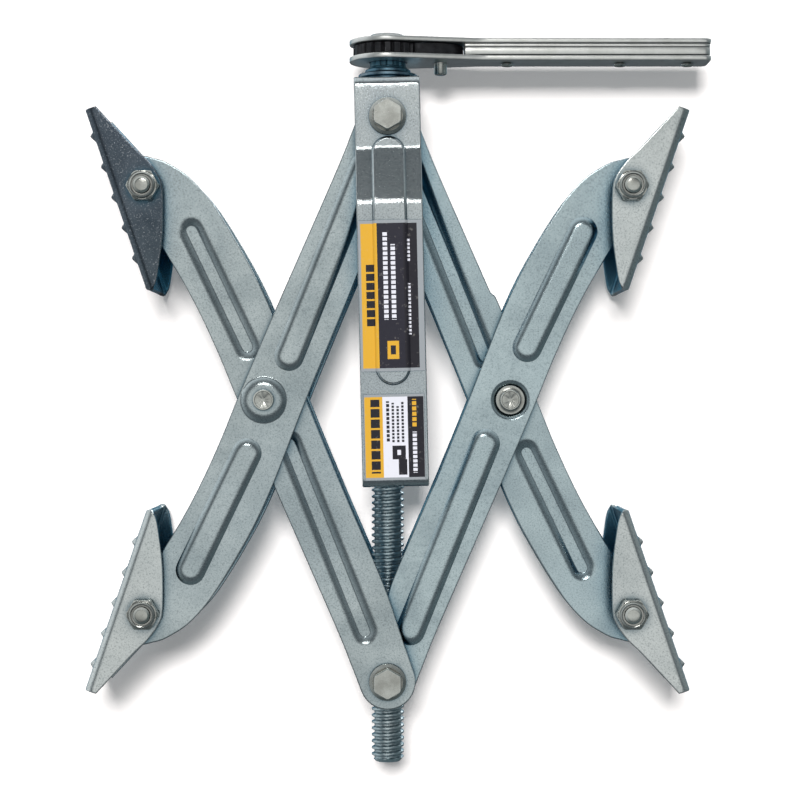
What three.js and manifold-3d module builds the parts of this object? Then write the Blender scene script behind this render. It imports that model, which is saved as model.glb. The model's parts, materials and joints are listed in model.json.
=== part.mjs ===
// Screw-driven scissor wheel chock for the gap between two tandem tyres.
// Millimetres. X to the handle side, Y away from the front, Z up along the screw.
// Origin: on the screw axis, halfway between the top pivot and the nut pivot.
import * as THREE from 'three';
import { mergeVertices } from 'three/addons/utils/BufferGeometryUtils.js';
import Module from 'manifold-3d';

const wasm = await Module();
wasm.setup();

// ---- scissor geometry -------------------------------------------------
const PIVOT_Z = 136.3;          // top pivot and nut pivot, above and below the origin
const RIVET_X = 59.7;           // crossing rivets, left and right of the screw
const ARM_LINK = Math.hypot(PIVOT_Z, RIVET_X);
const ARM_SIN = RIVET_X / ARM_LINK;
const ARM_COS = PIVOT_Z / ARM_LINK;
const GAP = 0.3;                // running clearance between neighbouring pieces

// ---- arm stamping, along the link (u) and away from the screw (v) ------
const PLATE = 2.5;
const RIB_HEIGHT = 1.9;
const INNER_END_R = 13.5;
const OUTER_END = { u: 265.8, v: 11.4, r: 12.2 };
const SCREW_SIDE_EDGE = [
  [16, -14.8], [45, -17.1], [95, -17.6], [140, -18.6], [183, -20.4],
  [205, -20.2], [222, -18.7], [236, -16.9], [248, -14.8], [257, -12.2],
  [264.5, -8.9], [270, -5.2], [274.5, -1.6], [277.5, 2.2],
  [280.8, 6.8], [281.3, 11.4], [279.9, 15.2], [277.4, 18.1],
];
const FREE_SIDE_EDGE = [
  [251, 20.2], [241, 17.0], [225, 14.0], [203, 11.9], [178, 11.3],
  [152, 11.9], [110, 12.3], [36, 12.3], [14, 12.9],
];
const RIB_R = 7.2;
const RIB_TOP_R = 4.4;
const INNER_RIB = [[26.5, 0.4], [124.5, -2.7]];
const OUTER_RIB = [[175.5, -2.8], [238.0, -0.6]];
// rivet bosses nest: raised side and hollow side, radius at the plate and at the crown
const BOSS = {
  a: { base: 11.2, top: 8.2, hollow: 10.6, hollowTop: 7.6 },
  b: { base: 10.0, top: 7.0, hollow: 9.3, hollowTop: 6.3 },
  c: { base: 10.4, top: 8.0, hollow: 10.0, hollowTop: 7.5 },
  d: { base: 11.6, top: 9.2, hollow: 11.0, hollowTop: 8.6 },
};

// small tab on the free edge of the front right arm that hangs from the top
const EDGE_TAB = [[97.0, 11.8], [97.8, 13.0], [99.5, 13.7], [118.0, 13.7], [120.0, 11.8]];

// depth of each arm layer: near face, measured from the screw axis
const LAYER = { a: 22.5, b: 19.7, c: 13.1, d: 10.3 };

// ---- pins, bolts, rivets ------------------------------------------------
const PIN_R = 6.9;
const PIN_HOLE_R = 7.2;
const BOLT_R = 4.0;
const BOLT_HOLE_R = 4.3;
const FLANGE_R = 8.95;
const FLANGE_T = 1.6;
const BOLT_HEAD_AF = 13.0;
const BOLT_HEAD_T = 6.6;
const RIVET_R = 4.0;
const RIVET_HEAD_R = 5.1;

// ---- screw and its blocks ------------------------------------------------
const SCREW_R = 7.94;
const SCREW_BOTTOM = -178.0;
const SCREW_SHOULDER = 150.0;
const JOURNAL_R = 7.0;
const DRIVE_AF = 11.0;
const BORE_R = 8.25;
const BLOCK_X = 12.5;
const BLOCK_Y = 10.0;
const TOP_BLOCK_Z = 10.0;
const NUT_R = 12.8;                // the nut is a drum across the arms, with a flat above and below
const NUT_FLAT = 8.4;
const TOP_PIN_END = 25.5;
const NUT_PIN_END = 22.5;

// ---- bracket --------------------------------------------------------------
const STRAP_W = 31.7;
const STRAP_T = 3.0;
const STRAP_IN = 25.9;           // inner face of both bracket legs from the screw axis
const TOP_PLATE_Z = 156.0;       // top face
const BEND_R = 4.5;
const JOG_TOP_Z = 121.0;
const JOG_BOTTOM_Z = 94.0;
const JOG = 8.0;
const STRAP_BOTTOM_Z = -41.5;
const LIP_DEPTH = 5.5;
const REAR_LEG_Z = 121.0;
const BEAD_W = 16.6;
const BEAD_H = 1.6;
const BEAD_TOP_Z = 126.8;
const BEAD_BOTTOM_Z = 7.0;
const BRACKET_LEAN = 1.3;        // degrees the bracket hangs off the screw axis

// ---- labels ----------------------------------------------------------------
const LABEL_T = 0.35;
const LABEL_OFF = 0.08;
const UPPER_LABEL = { left: -12.9, right: 13.9, top: 84.0, bottom: 15.0 };
const LOWER_LABEL = { left: -11.4, right: 14.1, top: 2.6, bottom: -36.6 };

// ---- tyre pads ---------------------------------------------------------------
const PAD_INNER = 27.3;
const PAD_PLATE = 2.5;
const PAD_OUTER = PAD_INNER + PAD_PLATE;
const TREAD_TIP = [-28.5, 37.0];
const TREAD_TAIL = [0.9, -49.4];
const PAD_LEG = [
  [-22.8, 38.4], [-5.7, 20.0], [1.9, 12.6], [7.1, 5.2], [9.0, -1.9],
  [9.0, -21.9], [7.2, -38.5], [5.7, -46.4], [3.6, -49.8],
];
const TEETH_ROWS = [0.12, 0.29, 0.46, 0.63, 0.80];
const TOOTH_COLUMNS = [-20, 0, 20];
const TOOTH_L = 7.0;
const TOOTH_W = 10.0;
const TOOTH_H = 2.8;
const TUBE_R = 6.6;
const PAD_NUT_AF = 14.0;
const PAD_NUT_T = 7.4;

// ---- ratchet handle -------------------------------------------------------------
const HEAD_R = 19.0;
const HEAD_TAPER = 10.8;           // degrees the head's sides close in towards the handle
const HANDLE_HALF_W = 10.5;
const HANDLE_END_X = 158.5;
const PLATE_LOW = [166.3, 168.8];
const PLATE_HIGH = [174.7, 177.1];
const GEAR_R = 17.2;
const GEAR_TEETH = 22;
const GEAR_TOOTH = 1.7;
const GEAR_Z = [169.2, 174.3];
const GEAR_BORE_AF = 11.6;
const HUB_HOLE_R = 9.4;
const PAWL_PIN = [26.0, 0.0];
const PAWL_END_R = 11.2;
const PAWL_NOSE_R = 17.9;
const HANDLE_RIVETS = [58.8, 114.6, 147.8];
const CAP_R = 9.8;
const CAP_Z = [177.4, 180.4];
const WASHERS_Z = [[156.4, 158.3], [158.6, 160.5]];
const WASHER_R = 14.5;

const ZINC = { color: 0xaeb6ba, roughness: 0.38, metalness: 1.0 };
const STEEL = { color: 0xc2c2bd, roughness: 0.3, metalness: 1.0 };
const BLACK = { color: 0x1b1b1d, roughness: 0.5, metalness: 0.8 };
const PLATED = { color: 0xcfcfc9, roughness: 0.28, metalness: 1.0 };
const PRINT = { color: 0xd9a21c, roughness: 0.5, metalness: 0.0 };

const RAD = Math.PI / 180;
const PLAIN = { bevelEnabled: false, curveSegments: 1 };
const chock = new THREE.Group();
chock.name = 'wheel_chock';

// ---- solid helpers ---------------------------------------------------------------
function toSolid(geometry) {
  geometry.deleteAttribute('normal');
  geometry.deleteAttribute('uv');
  const merged = mergeVertices(geometry, 1e-4);
  const triVerts = new Uint32Array(merged.index.array);
  const vertProperties = new Float32Array(merged.attributes.position.array);
  return new wasm.Manifold(new wasm.Mesh({ numProp: 3, vertProperties, triVerts }));
}

function toMesh(name, solid, look) {
  const mesh = solid.getMesh();
  const geometry = new THREE.BufferGeometry();
  geometry.setAttribute('position', new THREE.BufferAttribute(new Float32Array(mesh.vertProperties), 3));
  geometry.setIndex(new THREE.BufferAttribute(new Uint32Array(mesh.triVerts), 1));
  geometry.computeVertexNormals();
  const part = new THREE.Mesh(geometry, new THREE.MeshStandardMaterial(look));
  part.name = name;
  chock.add(part);
}

// outline in X and Z, carried along Y
function prismY(points, y0, y1) {
  const shape = new THREE.Shape(points.map(([x, z]) => new THREE.Vector2(x, z)));
  const depth = Math.abs(y1 - y0);
  const geometry = new THREE.ExtrudeGeometry(shape, { depth, ...PLAIN });
  geometry.rotateX(Math.PI / 2);
  geometry.translate(0, Math.max(y0, y1), 0);
  return toSolid(geometry);
}

// outline in X and Y, carried along Z
function prismZ(points, z0, z1) {
  const shape = new THREE.Shape(points.map(([x, y]) => new THREE.Vector2(x, y)));
  const geometry = new THREE.ExtrudeGeometry(shape, { depth: z1 - z0, ...PLAIN });
  geometry.translate(0, 0, z0);
  return toSolid(geometry);
}

// outline in Y and Z, carried along X
function prismX(points, x0, x1) {
  const shape = new THREE.Shape(points.map(([y, z]) => new THREE.Vector2(y, z)));
  const geometry = new THREE.ExtrudeGeometry(shape, { depth: x1 - x0, ...PLAIN });
  geometry.rotateY(Math.PI / 2);
  geometry.rotateX(Math.PI / 2);
  geometry.translate(x0, 0, 0);
  return toSolid(geometry);
}

function circle(cx, cy, r, count, start = 0) {
  const points = [];
  for (let i = 0; i < count; i += 1) {
    const a = start + (i / count) * Math.PI * 2;
    points.push([cx + r * Math.cos(a), cy + r * Math.sin(a)]);
  }
  return points;
}

function hexagon(cx, cy, acrossFlats) {
  return circle(cx, cy, acrossFlats / Math.sqrt(3), 6);
}

function barY(x, z, r, y0, y1, count = 18) {
  return prismY(circle(x, z, r, count), y0, y1);
}

function barZ(x, y, r, z0, z1, count = 24) {
  return prismZ(circle(x, y, r, count), z0, z1);
}

// convex rings joined side to side, capped at both ends
function loft(rings) {
  const count = rings[0].length;
  const position = rings.flat(2);
  const index = [];
  for (let k = 0; k + 1 < rings.length; k += 1) {
    for (let i = 0; i < count; i += 1) {
      const j = (i + 1) % count;
      const a = k * count + i;
      const b = k * count + j;
      index.push(a, b, a + count, b, b + count, a + count);
    }
  }
  const last = (rings.length - 1) * count;
  for (let i = 1; i + 1 < count; i += 1) {
    index.push(0, i + 1, i);
    index.push(last, last + i, last + i + 1);
  }
  if (signedVolume(position, index) < 0) {
    index.reverse();
  }
  const geometry = new THREE.BufferGeometry();
  geometry.setAttribute('position', new THREE.BufferAttribute(new Float32Array(position), 3));
  geometry.setIndex(index);
  return toSolid(geometry);
}

function signedVolume(position, index) {
  const a = new THREE.Vector3();
  const b = new THREE.Vector3();
  const c = new THREE.Vector3();
  let sum = 0;
  for (let i = 0; i < index.length; i += 3) {
    a.fromArray(position, index[i] * 3);
    b.fromArray(position, index[i + 1] * 3);
    c.fromArray(position, index[i + 2] * 3);
    sum += a.dot(b.cross(c));
  }
  return sum;
}

function stadium([u0, v0], [u1, v1], r, perEnd = 5) {
  const angle = Math.atan2(v1 - v0, u1 - u0);
  const points = [];
  for (let i = 0; i < perEnd; i += 1) {
    const a = angle - Math.PI / 2 + (i / (perEnd - 1)) * Math.PI;
    points.push([u1 + r * Math.cos(a), v1 + r * Math.sin(a)]);
  }
  for (let i = 0; i < perEnd; i += 1) {
    const a = angle + Math.PI / 2 + (i / (perEnd - 1)) * Math.PI;
    points.push([u0 + r * Math.cos(a), v0 + r * Math.sin(a)]);
  }
  return points;
}

// ---- arms ---------------------------------------------------------------------------
// side: -1 left of the screw, +1 right.  hang: -1 hangs from the top pivot, +1 stands on the nut
function armFrame(side, hang) {
  const place = ([u, v]) => [
    side * (u * ARM_SIN + v * ARM_COS),
    -hang * PIVOT_Z + hang * (u * ARM_COS - v * ARM_SIN),
  ];
  return place;
}

function armOutline() {
  const points = [];
  for (let i = 0; i <= 8; i += 1) {
    const a = Math.PI / 2 + (i / 8) * Math.PI;
    points.push([INNER_END_R * Math.cos(a), INNER_END_R * Math.sin(a)]);
  }
  points.push(...SCREW_SIDE_EDGE);
  for (let i = 0; i <= 3; i += 1) {
    const a = Math.PI * 0.25 + (i / 3) * Math.PI * 0.33;
    points.push([OUTER_END.u + OUTER_END.r * Math.cos(a), OUTER_END.v + OUTER_END.r * Math.sin(a)]);
  }
  points.push(...FREE_SIDE_EDGE);
  return points;
}

// pressed shape standing on one face of the plate, its cavity cut in the other
function pressing(place, base, top, cavityBase, cavityTop, face, direction) {
  const ring = (loop, depth) => loop.map((p) => {
    const [x, z] = place(p);
    return [x, depth, z];
  });
  const raised = loft([ring(base, face - direction * 0.4), ring(top, face + direction * RIB_HEIGHT)]);
  const back = face - direction * PLATE;
  const hollow = loft([
    ring(cavityBase, back - direction * 0.05),
    ring(cavityTop, back + direction * RIB_HEIGHT),
  ]);
  return { raised, hollow };
}

function buildArm(name, side, hang, layer, ribsOut, bossOut, rear) {
  const place = armFrame(side, hang);
  const ySign = rear ? 1 : -1;
  const near = ySign * LAYER[layer];
  const far = ySign * (LAYER[layer] + PLATE);
  let outline = armOutline().map(place);
  if (THREE.ShapeUtils.area(outline.map(([x, z]) => new THREE.Vector2(x, z))) < 0) {
    outline = outline.reverse();
  }
  let solid = prismY(outline, near, far);
  const press = (base, top, cavityBase, cavityTop, out) => {
    const face = out ? far : near;
    const direction = out ? ySign : -ySign;
    const shapes = pressing(place, base, top, cavityBase, cavityTop, face, direction);
    solid = solid.add(shapes.raised).subtract(shapes.hollow);
  };
  for (const [from, to] of [INNER_RIB, OUTER_RIB]) {
    press(
      stadium(from, to, RIB_R), stadium(from, to, RIB_TOP_R),
      stadium(from, to, RIB_R - 1.0), stadium(from, to, RIB_TOP_R - 0.9), ribsOut,
    );
  }
  const boss = [ARM_LINK, 0];
  const size = BOSS[layer];
  press(
    circle(...boss, size.base, 14), circle(...boss, size.top, 14),
    circle(...boss, size.hollow, 14), circle(...boss, size.hollowTop, 14), bossOut,
  );
  const holes = [
    [[0, 0], PIN_HOLE_R, 16], [boss, RIVET_R + GAP, 12], [[OUTER_END.u, OUTER_END.v], BOLT_HOLE_R, 12],
  ];
  for (const [centre, r, count] of holes) {
    const [x, z] = place(centre);
    solid = solid.subtract(barY(x, z, r, -60, 60, count));
  }
  if (name === 'arm_d_front') {
    solid = solid.add(prismY(orderLoop(EDGE_TAB.map(place)), near, far));
  }
  toMesh(name, solid, ZINC);
}

const ARMS = [
  { key: 'a', body: 'arm_a', side: -1, hang: -1, ribsOut: true, bossOut: true },
  { key: 'b', body: 'arm_b', side: -1, hang: 1, ribsOut: false, bossOut: true },
  { key: 'c', body: 'arm_c', side: 1, hang: 1, ribsOut: true, bossOut: false },
  { key: 'd', body: 'arm_d', side: 1, hang: -1, ribsOut: false, bossOut: false },
];
const SIDES = [['front', -1], ['rear', 1]];

function buildArms() {
  for (const arm of ARMS) {
    for (const [word, sign] of SIDES) {
      buildArm(`${arm.body}_${word}`, arm.side, arm.hang, arm.key, arm.ribsOut, arm.bossOut, sign > 0);
    }
  }
}

// ---- crossing rivets ------------------------------------------------------------------
function buildRivets() {
  for (const [word, sign] of SIDES) {
    const leftOut = LAYER.a + PLATE + RIB_HEIGHT + GAP;
    const leftIn = LAYER.b + RIB_HEIGHT - GAP;
    toMesh(`left_rivet_${word}`, rivet(-RIVET_X, sign, leftIn, leftOut, 1.8, 1.6, 0), STEEL);
    const rightOut = LAYER.c + PLATE - RIB_HEIGHT + GAP;
    const rightIn = LAYER.d - RIB_HEIGHT - GAP;
    toMesh(`right_rivet_${word}`, rivet(RIVET_X, sign, rightIn, rightOut, 2.6, 1.6, 7.1), STEEL);
  }
}

function rivet(x, sign, inner, outer, outerHead, innerHead, ringR) {
  let solid = barY(x, 0, RIVET_R, sign * (inner - 0.3), sign * (outer + 0.3), 16);
  solid = solid.add(barY(x, 0, RIVET_HEAD_R, sign * outer, sign * (outer + outerHead), 16));
  solid = solid.add(barY(x, 0, RIVET_HEAD_R + 0.8, sign * (inner - innerHead), sign * inner, 16));
  if (ringR > 0) {
    solid = solid.add(barY(x, 0, ringR, sign * outer, sign * (outer + 1.1), 18));
  }
  const tip = outer + outerHead - 1.4;
  const dimple = loft([
    circle(x, 0, 3.8, 12).map(([px, pz]) => [px, sign * (outer + outerHead + 0.1), pz]),
    circle(x, 0, 0.3, 12).map(([px, pz]) => [px, sign * tip, pz]),
  ]);
  return solid.subtract(dimple);
}

// ---- screw, top block, nut block ----------------------------------------------------------
function buildScrew() {
  let solid = barZ(0, 0, SCREW_R, SCREW_BOTTOM + 2.4, SCREW_SHOULDER);
  solid = solid.add(loft([
    circle(0, 0, SCREW_R - 2.2, 24).map(([x, y]) => [x, y, SCREW_BOTTOM]),
    circle(0, 0, SCREW_R, 24).map(([x, y]) => [x, y, SCREW_BOTTOM + 2.4]),
  ]));
  solid = solid.add(barZ(0, 0, JOURNAL_R, SCREW_SHOULDER - 1, 163.2));
  solid = solid.add(prismZ(hexagon(0, 0, DRIVE_AF), 162, PLATE_HIGH[1]));
  toMesh('screw', solid, ZINC);
}

function blockWithPins(z, outline, pinEnd, shoulder) {
  let solid = prismY(outline.map(([x, height]) => [x, z + height]), -BLOCK_Y, BLOCK_Y);
  solid = solid.add(barY(0, z, PIN_R, -pinEnd, pinEnd, 20));
  if (shoulder > 0) {
    solid = solid.add(barY(0, z, 9.8, -shoulder, shoulder, 24));
  }
  solid = solid.subtract(barZ(0, 0, BORE_R, z - 40, z + 40));
  for (const sign of [-1, 1]) {
    solid = solid.subtract(barY(0, z, BOLT_HOLE_R, sign * 12.2, sign * 40, 16));
  }
  return solid;
}

function buildBlocks() {
  const h = TOP_BLOCK_Z;
  const square = [[-BLOCK_X, -h], [BLOCK_X, -h], [BLOCK_X, h], [-BLOCK_X, h]];
  const drum = circle(0, 0, NUT_R, 32).map(([x, z]) => [x, Math.max(-NUT_FLAT, Math.min(NUT_FLAT, z))]);
  toMesh('top_block', blockWithPins(PIVOT_Z, square, TOP_PIN_END, 0), STEEL);
  toMesh('nut_block', blockWithPins(-PIVOT_Z, drum, NUT_PIN_END, LAYER.c - GAP), STEEL);
}

function flangeBolt(z, seat, sign) {
  let solid = barY(0, z, FLANGE_R, sign * seat, sign * (seat + FLANGE_T), 28);
  const head = hexagon(0, z, BOLT_HEAD_AF);
  solid = solid.add(prismY(head, sign * (seat + 0.5), sign * (seat + FLANGE_T + BOLT_HEAD_T)));
  return solid.add(barY(0, z, BOLT_R, sign * 12.6, sign * (seat + 0.5), 16));
}

function ringY(x, z, outer, inner, y0, y1) {
  return barY(x, z, outer, y0, y1, 16).subtract(barY(x, z, inner, -80, 80, 12));
}

function buildPivotHardware() {
  for (const [word, sign] of SIDES) {
    toMesh(`top_bolt_${word}`, flangeBolt(PIVOT_Z, STRAP_IN + STRAP_T + GAP, sign), STEEL);
    toMesh(`nut_bolt_${word}`, flangeBolt(-PIVOT_Z, NUT_PIN_END + GAP, sign), STEEL);
    const topFrom = LAYER.d + PLATE + GAP;
    const topTo = LAYER.a - GAP;
    toMesh(`top_spacer_${word}`, ringY(0, PIVOT_Z, 10, PIN_HOLE_R, sign * topFrom, sign * topTo), ZINC);
    const nutFrom = LAYER.c + PLATE + GAP;
    const nutTo = LAYER.b - GAP;
    toMesh(`nut_spacer_${word}`, ringY(0, -PIVOT_Z, 10, PIN_HOLE_R, sign * nutFrom, sign * nutTo), ZINC);
  }
}

// ---- bracket ---------------------------------------------------------------------------------
function bracketProfile() {
  const outer = STRAP_IN + STRAP_T;
  const low = outer + JOG;
  const inLow = STRAP_IN + JOG;
  const zTop = TOP_PLATE_Z;
  const front = [
    [-(outer - BEND_R), zTop], [-(outer - 1.3), zTop - 1.3], [-outer, zTop - BEND_R],
    [-outer, JOG_TOP_Z + 3], [-(outer + 1.0), JOG_TOP_Z - 2], [-(low - 1.0), JOG_BOTTOM_Z + 2],
    [-low, JOG_BOTTOM_Z - 3], [-low, STRAP_BOTTOM_Z + 3], [-(low - 3), STRAP_BOTTOM_Z],
    [-(low - 3 - LIP_DEPTH), STRAP_BOTTOM_Z], [-(low - 3 - LIP_DEPTH), STRAP_BOTTOM_Z + STRAP_T],
    [-inLow, STRAP_BOTTOM_Z + STRAP_T], [-inLow, JOG_BOTTOM_Z - 3], [-(inLow - 1.0), JOG_BOTTOM_Z + 2],
    [-(STRAP_IN + 1.0), JOG_TOP_Z - 2], [-STRAP_IN, JOG_TOP_Z + 3],
  ];
  const rear = [
    [STRAP_IN, zTop - STRAP_T], [STRAP_IN, REAR_LEG_Z], [outer, REAR_LEG_Z],
    [outer, zTop - BEND_R], [outer - 1.3, zTop - 1.3], [outer - BEND_R, zTop],
  ];
  return [...front, [-STRAP_IN, zTop - STRAP_T], ...rear];
}

function leanBracket(solid) {
  const a = (-BRACKET_LEAN * Math.PI) / 180;
  const c = Math.cos(a);
  const s = Math.sin(a);
  return solid.warp((p) => {
    const x = p[0];
    const z = p[2] - PIVOT_Z;
    p[0] = c * x + s * z;
    p[2] = PIVOT_Z - s * x + c * z;
  });
}

// depth of the front face of the front leg at a height
function strapFace(z) {
  const outer = STRAP_IN + STRAP_T;
  const t = THREE.MathUtils.clamp((JOG_TOP_Z - z) / (JOG_TOP_Z - JOG_BOTTOM_Z), 0, 1);
  return outer + JOG * t;
}

function beadSection(height, lift, halfTop, halfBase) {
  const base = -(strapFace(height) - 0.6);
  const top = -(strapFace(height) + lift);
  return [
    [-halfBase, base, height], [-halfTop, top, height], [halfTop, top, height], [halfBase, base, height],
  ];
}

function buildBracket() {
  const half = STRAP_W / 2;
  let solid = prismX(bracketProfile(), -half, half);
  const b = BEAD_W / 2;
  const heights = [
    [BEAD_TOP_Z, 0.02, b - 4], [BEAD_TOP_Z - 3, BEAD_H, b - 1.6], [JOG_TOP_Z - 2, BEAD_H, b - 1.6],
    [JOG_BOTTOM_Z, BEAD_H, b - 1.6], [BEAD_BOTTOM_Z + 4, BEAD_H, b - 1.6], [BEAD_BOTTOM_Z, 0.02, b - 4],
  ];
  const sections = heights.map(([z, lift, halfTop]) => beadSection(z, lift, halfTop, halfTop + 1.6));
  solid = solid.add(loft(sections));
  solid = solid.subtract(barZ(0, 0, 8.9, 140, 170));
  solid = solid.subtract(barY(0, PIVOT_Z, BOLT_HOLE_R, -60, 60, 18));
  solid = leanBracket(solid);
  toMesh('bracket', solid, ZINC);
}

// ---- labels ------------------------------------------------------------------------------------
function buildLabels() {
  const face = STRAP_IN + STRAP_T + JOG + LABEL_OFF;
  const crest = face + BEAD_H;
  const b = BEAD_W / 2;
  const { left, right, top, bottom } = UPPER_LABEL;
  const t = LABEL_T;
  const section = [
    [left, -face], [-b - 0.2, -face], [-b + 1.4, -crest],
    [b - 1.4, -crest], [b + 0.2, -face], [right, -face],
    [right, -face - t], [b + 0.4, -face - t], [b - 1.2, -crest - t],
    [-b + 1.2, -crest - t], [-b - 0.4, -face - t], [left, -face - t],
  ];
  toMesh('upper_label', leanBracket(prismZ(section.reverse(), bottom, top)), PRINT);
  const low = LOWER_LABEL;
  const flat = [[low.left, -face - t], [low.right, -face - t], [low.right, -face], [low.left, -face]];
  toMesh('lower_label', leanBracket(prismZ(flat, low.bottom, low.top)), PRINT);
}

// ---- tyre pads -----------------------------------------------------------------------------------
const PADS = [
  { body: 'pad_ul', side: -1, up: 1, arm: 'b', collars: true },
  { body: 'pad_ll', side: -1, up: -1, arm: 'a', collars: false },
  { body: 'pad_ur', side: 1, up: 1, arm: 'c', collars: true },
  { body: 'pad_lr', side: 1, up: -1, arm: 'd', collars: true },
];

// pad outline is drawn for the upper left pad, then mirrored; pivot at 0, 0
function padPlace(pad) {
  const cx = OUTER_END.u * ARM_SIN + OUTER_END.v * ARM_COS;
  const cz = OUTER_END.u * ARM_COS - OUTER_END.v * ARM_SIN - PIVOT_Z;
  return ([x, z]) => [pad.side * (cx - x), pad.up * (cz + z)];
}

function orderLoop(points) {
  const area = THREE.ShapeUtils.area(points.map(([x, z]) => new THREE.Vector2(x, z)));
  return area < 0 ? [...points].reverse() : points;
}

function buildPad(pad) {
  const place = padPlace(pad);
  const legLoop = orderLoop([TREAD_TIP, ...PAD_LEG, TREAD_TAIL].map(place));
  const dx = TREAD_TAIL[0] - TREAD_TIP[0];
  const dz = TREAD_TAIL[1] - TREAD_TIP[1];
  const length = Math.hypot(dx, dz);
  const along = [dx / length, dz / length];
  const inward = [-along[1], along[0]];
  const treadPoint = (s, n) => [
    TREAD_TIP[0] + along[0] * s + inward[0] * n,
    TREAD_TIP[1] + along[1] * s + inward[1] * n,
  ];
  const strip = [
    treadPoint(0, 0), treadPoint(2.0, PAD_PLATE),
    treadPoint(length - 1.0, PAD_PLATE), treadPoint(length, 0),
  ];
  let solid = prismY(orderLoop(strip.map(place)), -PAD_OUTER + 0.01, PAD_OUTER - 0.01);
  for (const sign of [-1, 1]) {
    solid = solid.add(prismY(legLoop, sign * PAD_INNER, sign * PAD_OUTER));
  }
  for (const row of TEETH_ROWS) {
    const s = row * length;
    const tooth = [
      treadPoint(s, 0.5), treadPoint(s + 1.2, -TOOTH_H),
      treadPoint(s + 2.2, -TOOTH_H), treadPoint(s + TOOTH_L, 0.5),
    ];
    for (const y of TOOTH_COLUMNS) {
      solid = solid.add(prismY(orderLoop(tooth.map(place)), y - TOOTH_W / 2, y + TOOTH_W / 2));
    }
  }
  const [cx, cz] = place([0, 0]);
  solid = solid.subtract(barY(cx, cz, BOLT_HOLE_R, -60, 60, 16));
  toMesh(pad.body, solid, ZINC);
  buildPadHardware(pad, cx, cz);
}

function buildPadHardware(pad, x, z) {
  const nutSeat = -(PAD_OUTER + GAP);
  const headSeat = PAD_OUTER + GAP;
  let bolt = barY(x, z, BOLT_R, nutSeat - PAD_NUT_T - 1.4, headSeat + 1, 18);
  bolt = bolt.add(prismY(hexagon(x, z, BOLT_HEAD_AF), headSeat, headSeat + 5.3));
  toMesh(`${pad.body}_bolt`, bolt, STEEL);
  let nut = prismY(hexagon(x, z, PAD_NUT_AF), nutSeat - PAD_NUT_T + 1.8, nutSeat);
  nut = nut.add(barY(x, z, 6.2, nutSeat - PAD_NUT_T, nutSeat - 1, 20));
  nut = nut.subtract(barY(x, z, BOLT_HOLE_R, -80, 0, 18));
  toMesh(`${pad.body}_nut`, nut, STEEL);
  const near = LAYER[pad.arm];
  toMesh(`${pad.body}_tube`, ringY(x, z, TUBE_R, BOLT_HOLE_R, -(near - GAP), near - GAP), ZINC);
  if (pad.collars) {
    for (const [word, sign] of SIDES) {
      const from = sign * (near + PLATE + GAP);
      const to = sign * (PAD_INNER - GAP);
      toMesh(`${pad.body}_collar_${word}`, ringY(x, z, TUBE_R, BOLT_HOLE_R, from, to), ZINC);
    }
  }
}

// ---- ratchet ------------------------------------------------------------------------------------------
function handleOutline() {
  const points = [];
  const meet = Math.PI / 2 - HEAD_TAPER * RAD;
  for (let i = 0; i <= 20; i += 1) {
    const a = meet + (i / 20) * (Math.PI * 2 - 2 * meet);
    points.push([HEAD_R * Math.cos(a), HEAD_R * Math.sin(a)]);
  }
  const taperEnd = (HEAD_R / Math.cos(HEAD_TAPER * RAD) - HANDLE_HALF_W) / Math.tan(HEAD_TAPER * RAD);
  points.push([taperEnd, -HANDLE_HALF_W]);
  const r = 5.0;
  for (const [corner, start] of [[-1, -Math.PI / 2], [1, 0]]) {
    for (let i = 0; i <= 4; i += 1) {
      const a = start + (i / 4) * (Math.PI / 2);
      points.push([HANDLE_END_X - r + r * Math.cos(a), corner * (HANDLE_HALF_W - r) + r * Math.sin(a)]);
    }
  }
  points.push([taperEnd, HANDLE_HALF_W]);
  return points;
}

function toothedWheel() {
  const points = [];
  for (let i = 0; i < GEAR_TEETH; i += 1) {
    const a = (i / GEAR_TEETH) * Math.PI * 2;
    const step = (Math.PI * 2) / GEAR_TEETH;
    points.push([(GEAR_R - GEAR_TOOTH) * Math.cos(a), (GEAR_R - GEAR_TOOTH) * Math.sin(a)]);
    points.push([GEAR_R * Math.cos(a + step * 0.35), GEAR_R * Math.sin(a + step * 0.35)]);
    points.push([GEAR_R * Math.cos(a + step * 0.65), GEAR_R * Math.sin(a + step * 0.65)]);
  }
  return points;
}

function buildRatchet() {
  const plates = [['handle_plate_low', PLATE_LOW, HUB_HOLE_R], ['handle_plate_high', PLATE_HIGH, 6.9]];
  for (const [name, [z0, z1], holeR] of plates) {
    let plate = prismZ(handleOutline(), z0, z1);
    plate = plate.subtract(barZ(0, 0, holeR, z0 - 1, z1 + 1, 28));
    plate = plate.subtract(barZ(...PAWL_PIN, 3.4, z0 - 1, z1 + 1, 16));
    for (const x of HANDLE_RIVETS) {
      plate = plate.subtract(barZ(x, 0, 2.3, z0 - 1, z1 + 1, 12));
    }
    toMesh(name, plate, PLATED);
  }
  let gear = prismZ(toothedWheel(), ...GEAR_Z);
  gear = gear.add(barZ(0, 0, 9.0, 163.0, GEAR_Z[0] + 0.5, 28));
  gear = gear.add(barZ(0, 0, 11.2, 160.9, 163.2, 28));
  gear = gear.subtract(prismZ(hexagon(0, 0, GEAR_BORE_AF), 150, 190));
  gear = gear.subtract(barZ(0, 0, JOURNAL_R + GAP, 150, 163.5, 24));
  toMesh('ratchet_gear', gear, BLACK);
  buildPawl();
  buildHandleFill();
  toMesh('head_cap', barZ(0, 0, CAP_R, ...CAP_Z, 28), PLATED);
  WASHERS_Z.forEach(([z0, z1], i) => {
    const ring = barZ(0, 0, WASHER_R, z0, z1, 24).subtract(barZ(0, 0, JOURNAL_R + GAP, z0 - 1, z1 + 1, 18));
    toMesh(`thrust_washer_${i + 1}`, ring, ZINC);
  });
}

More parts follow.
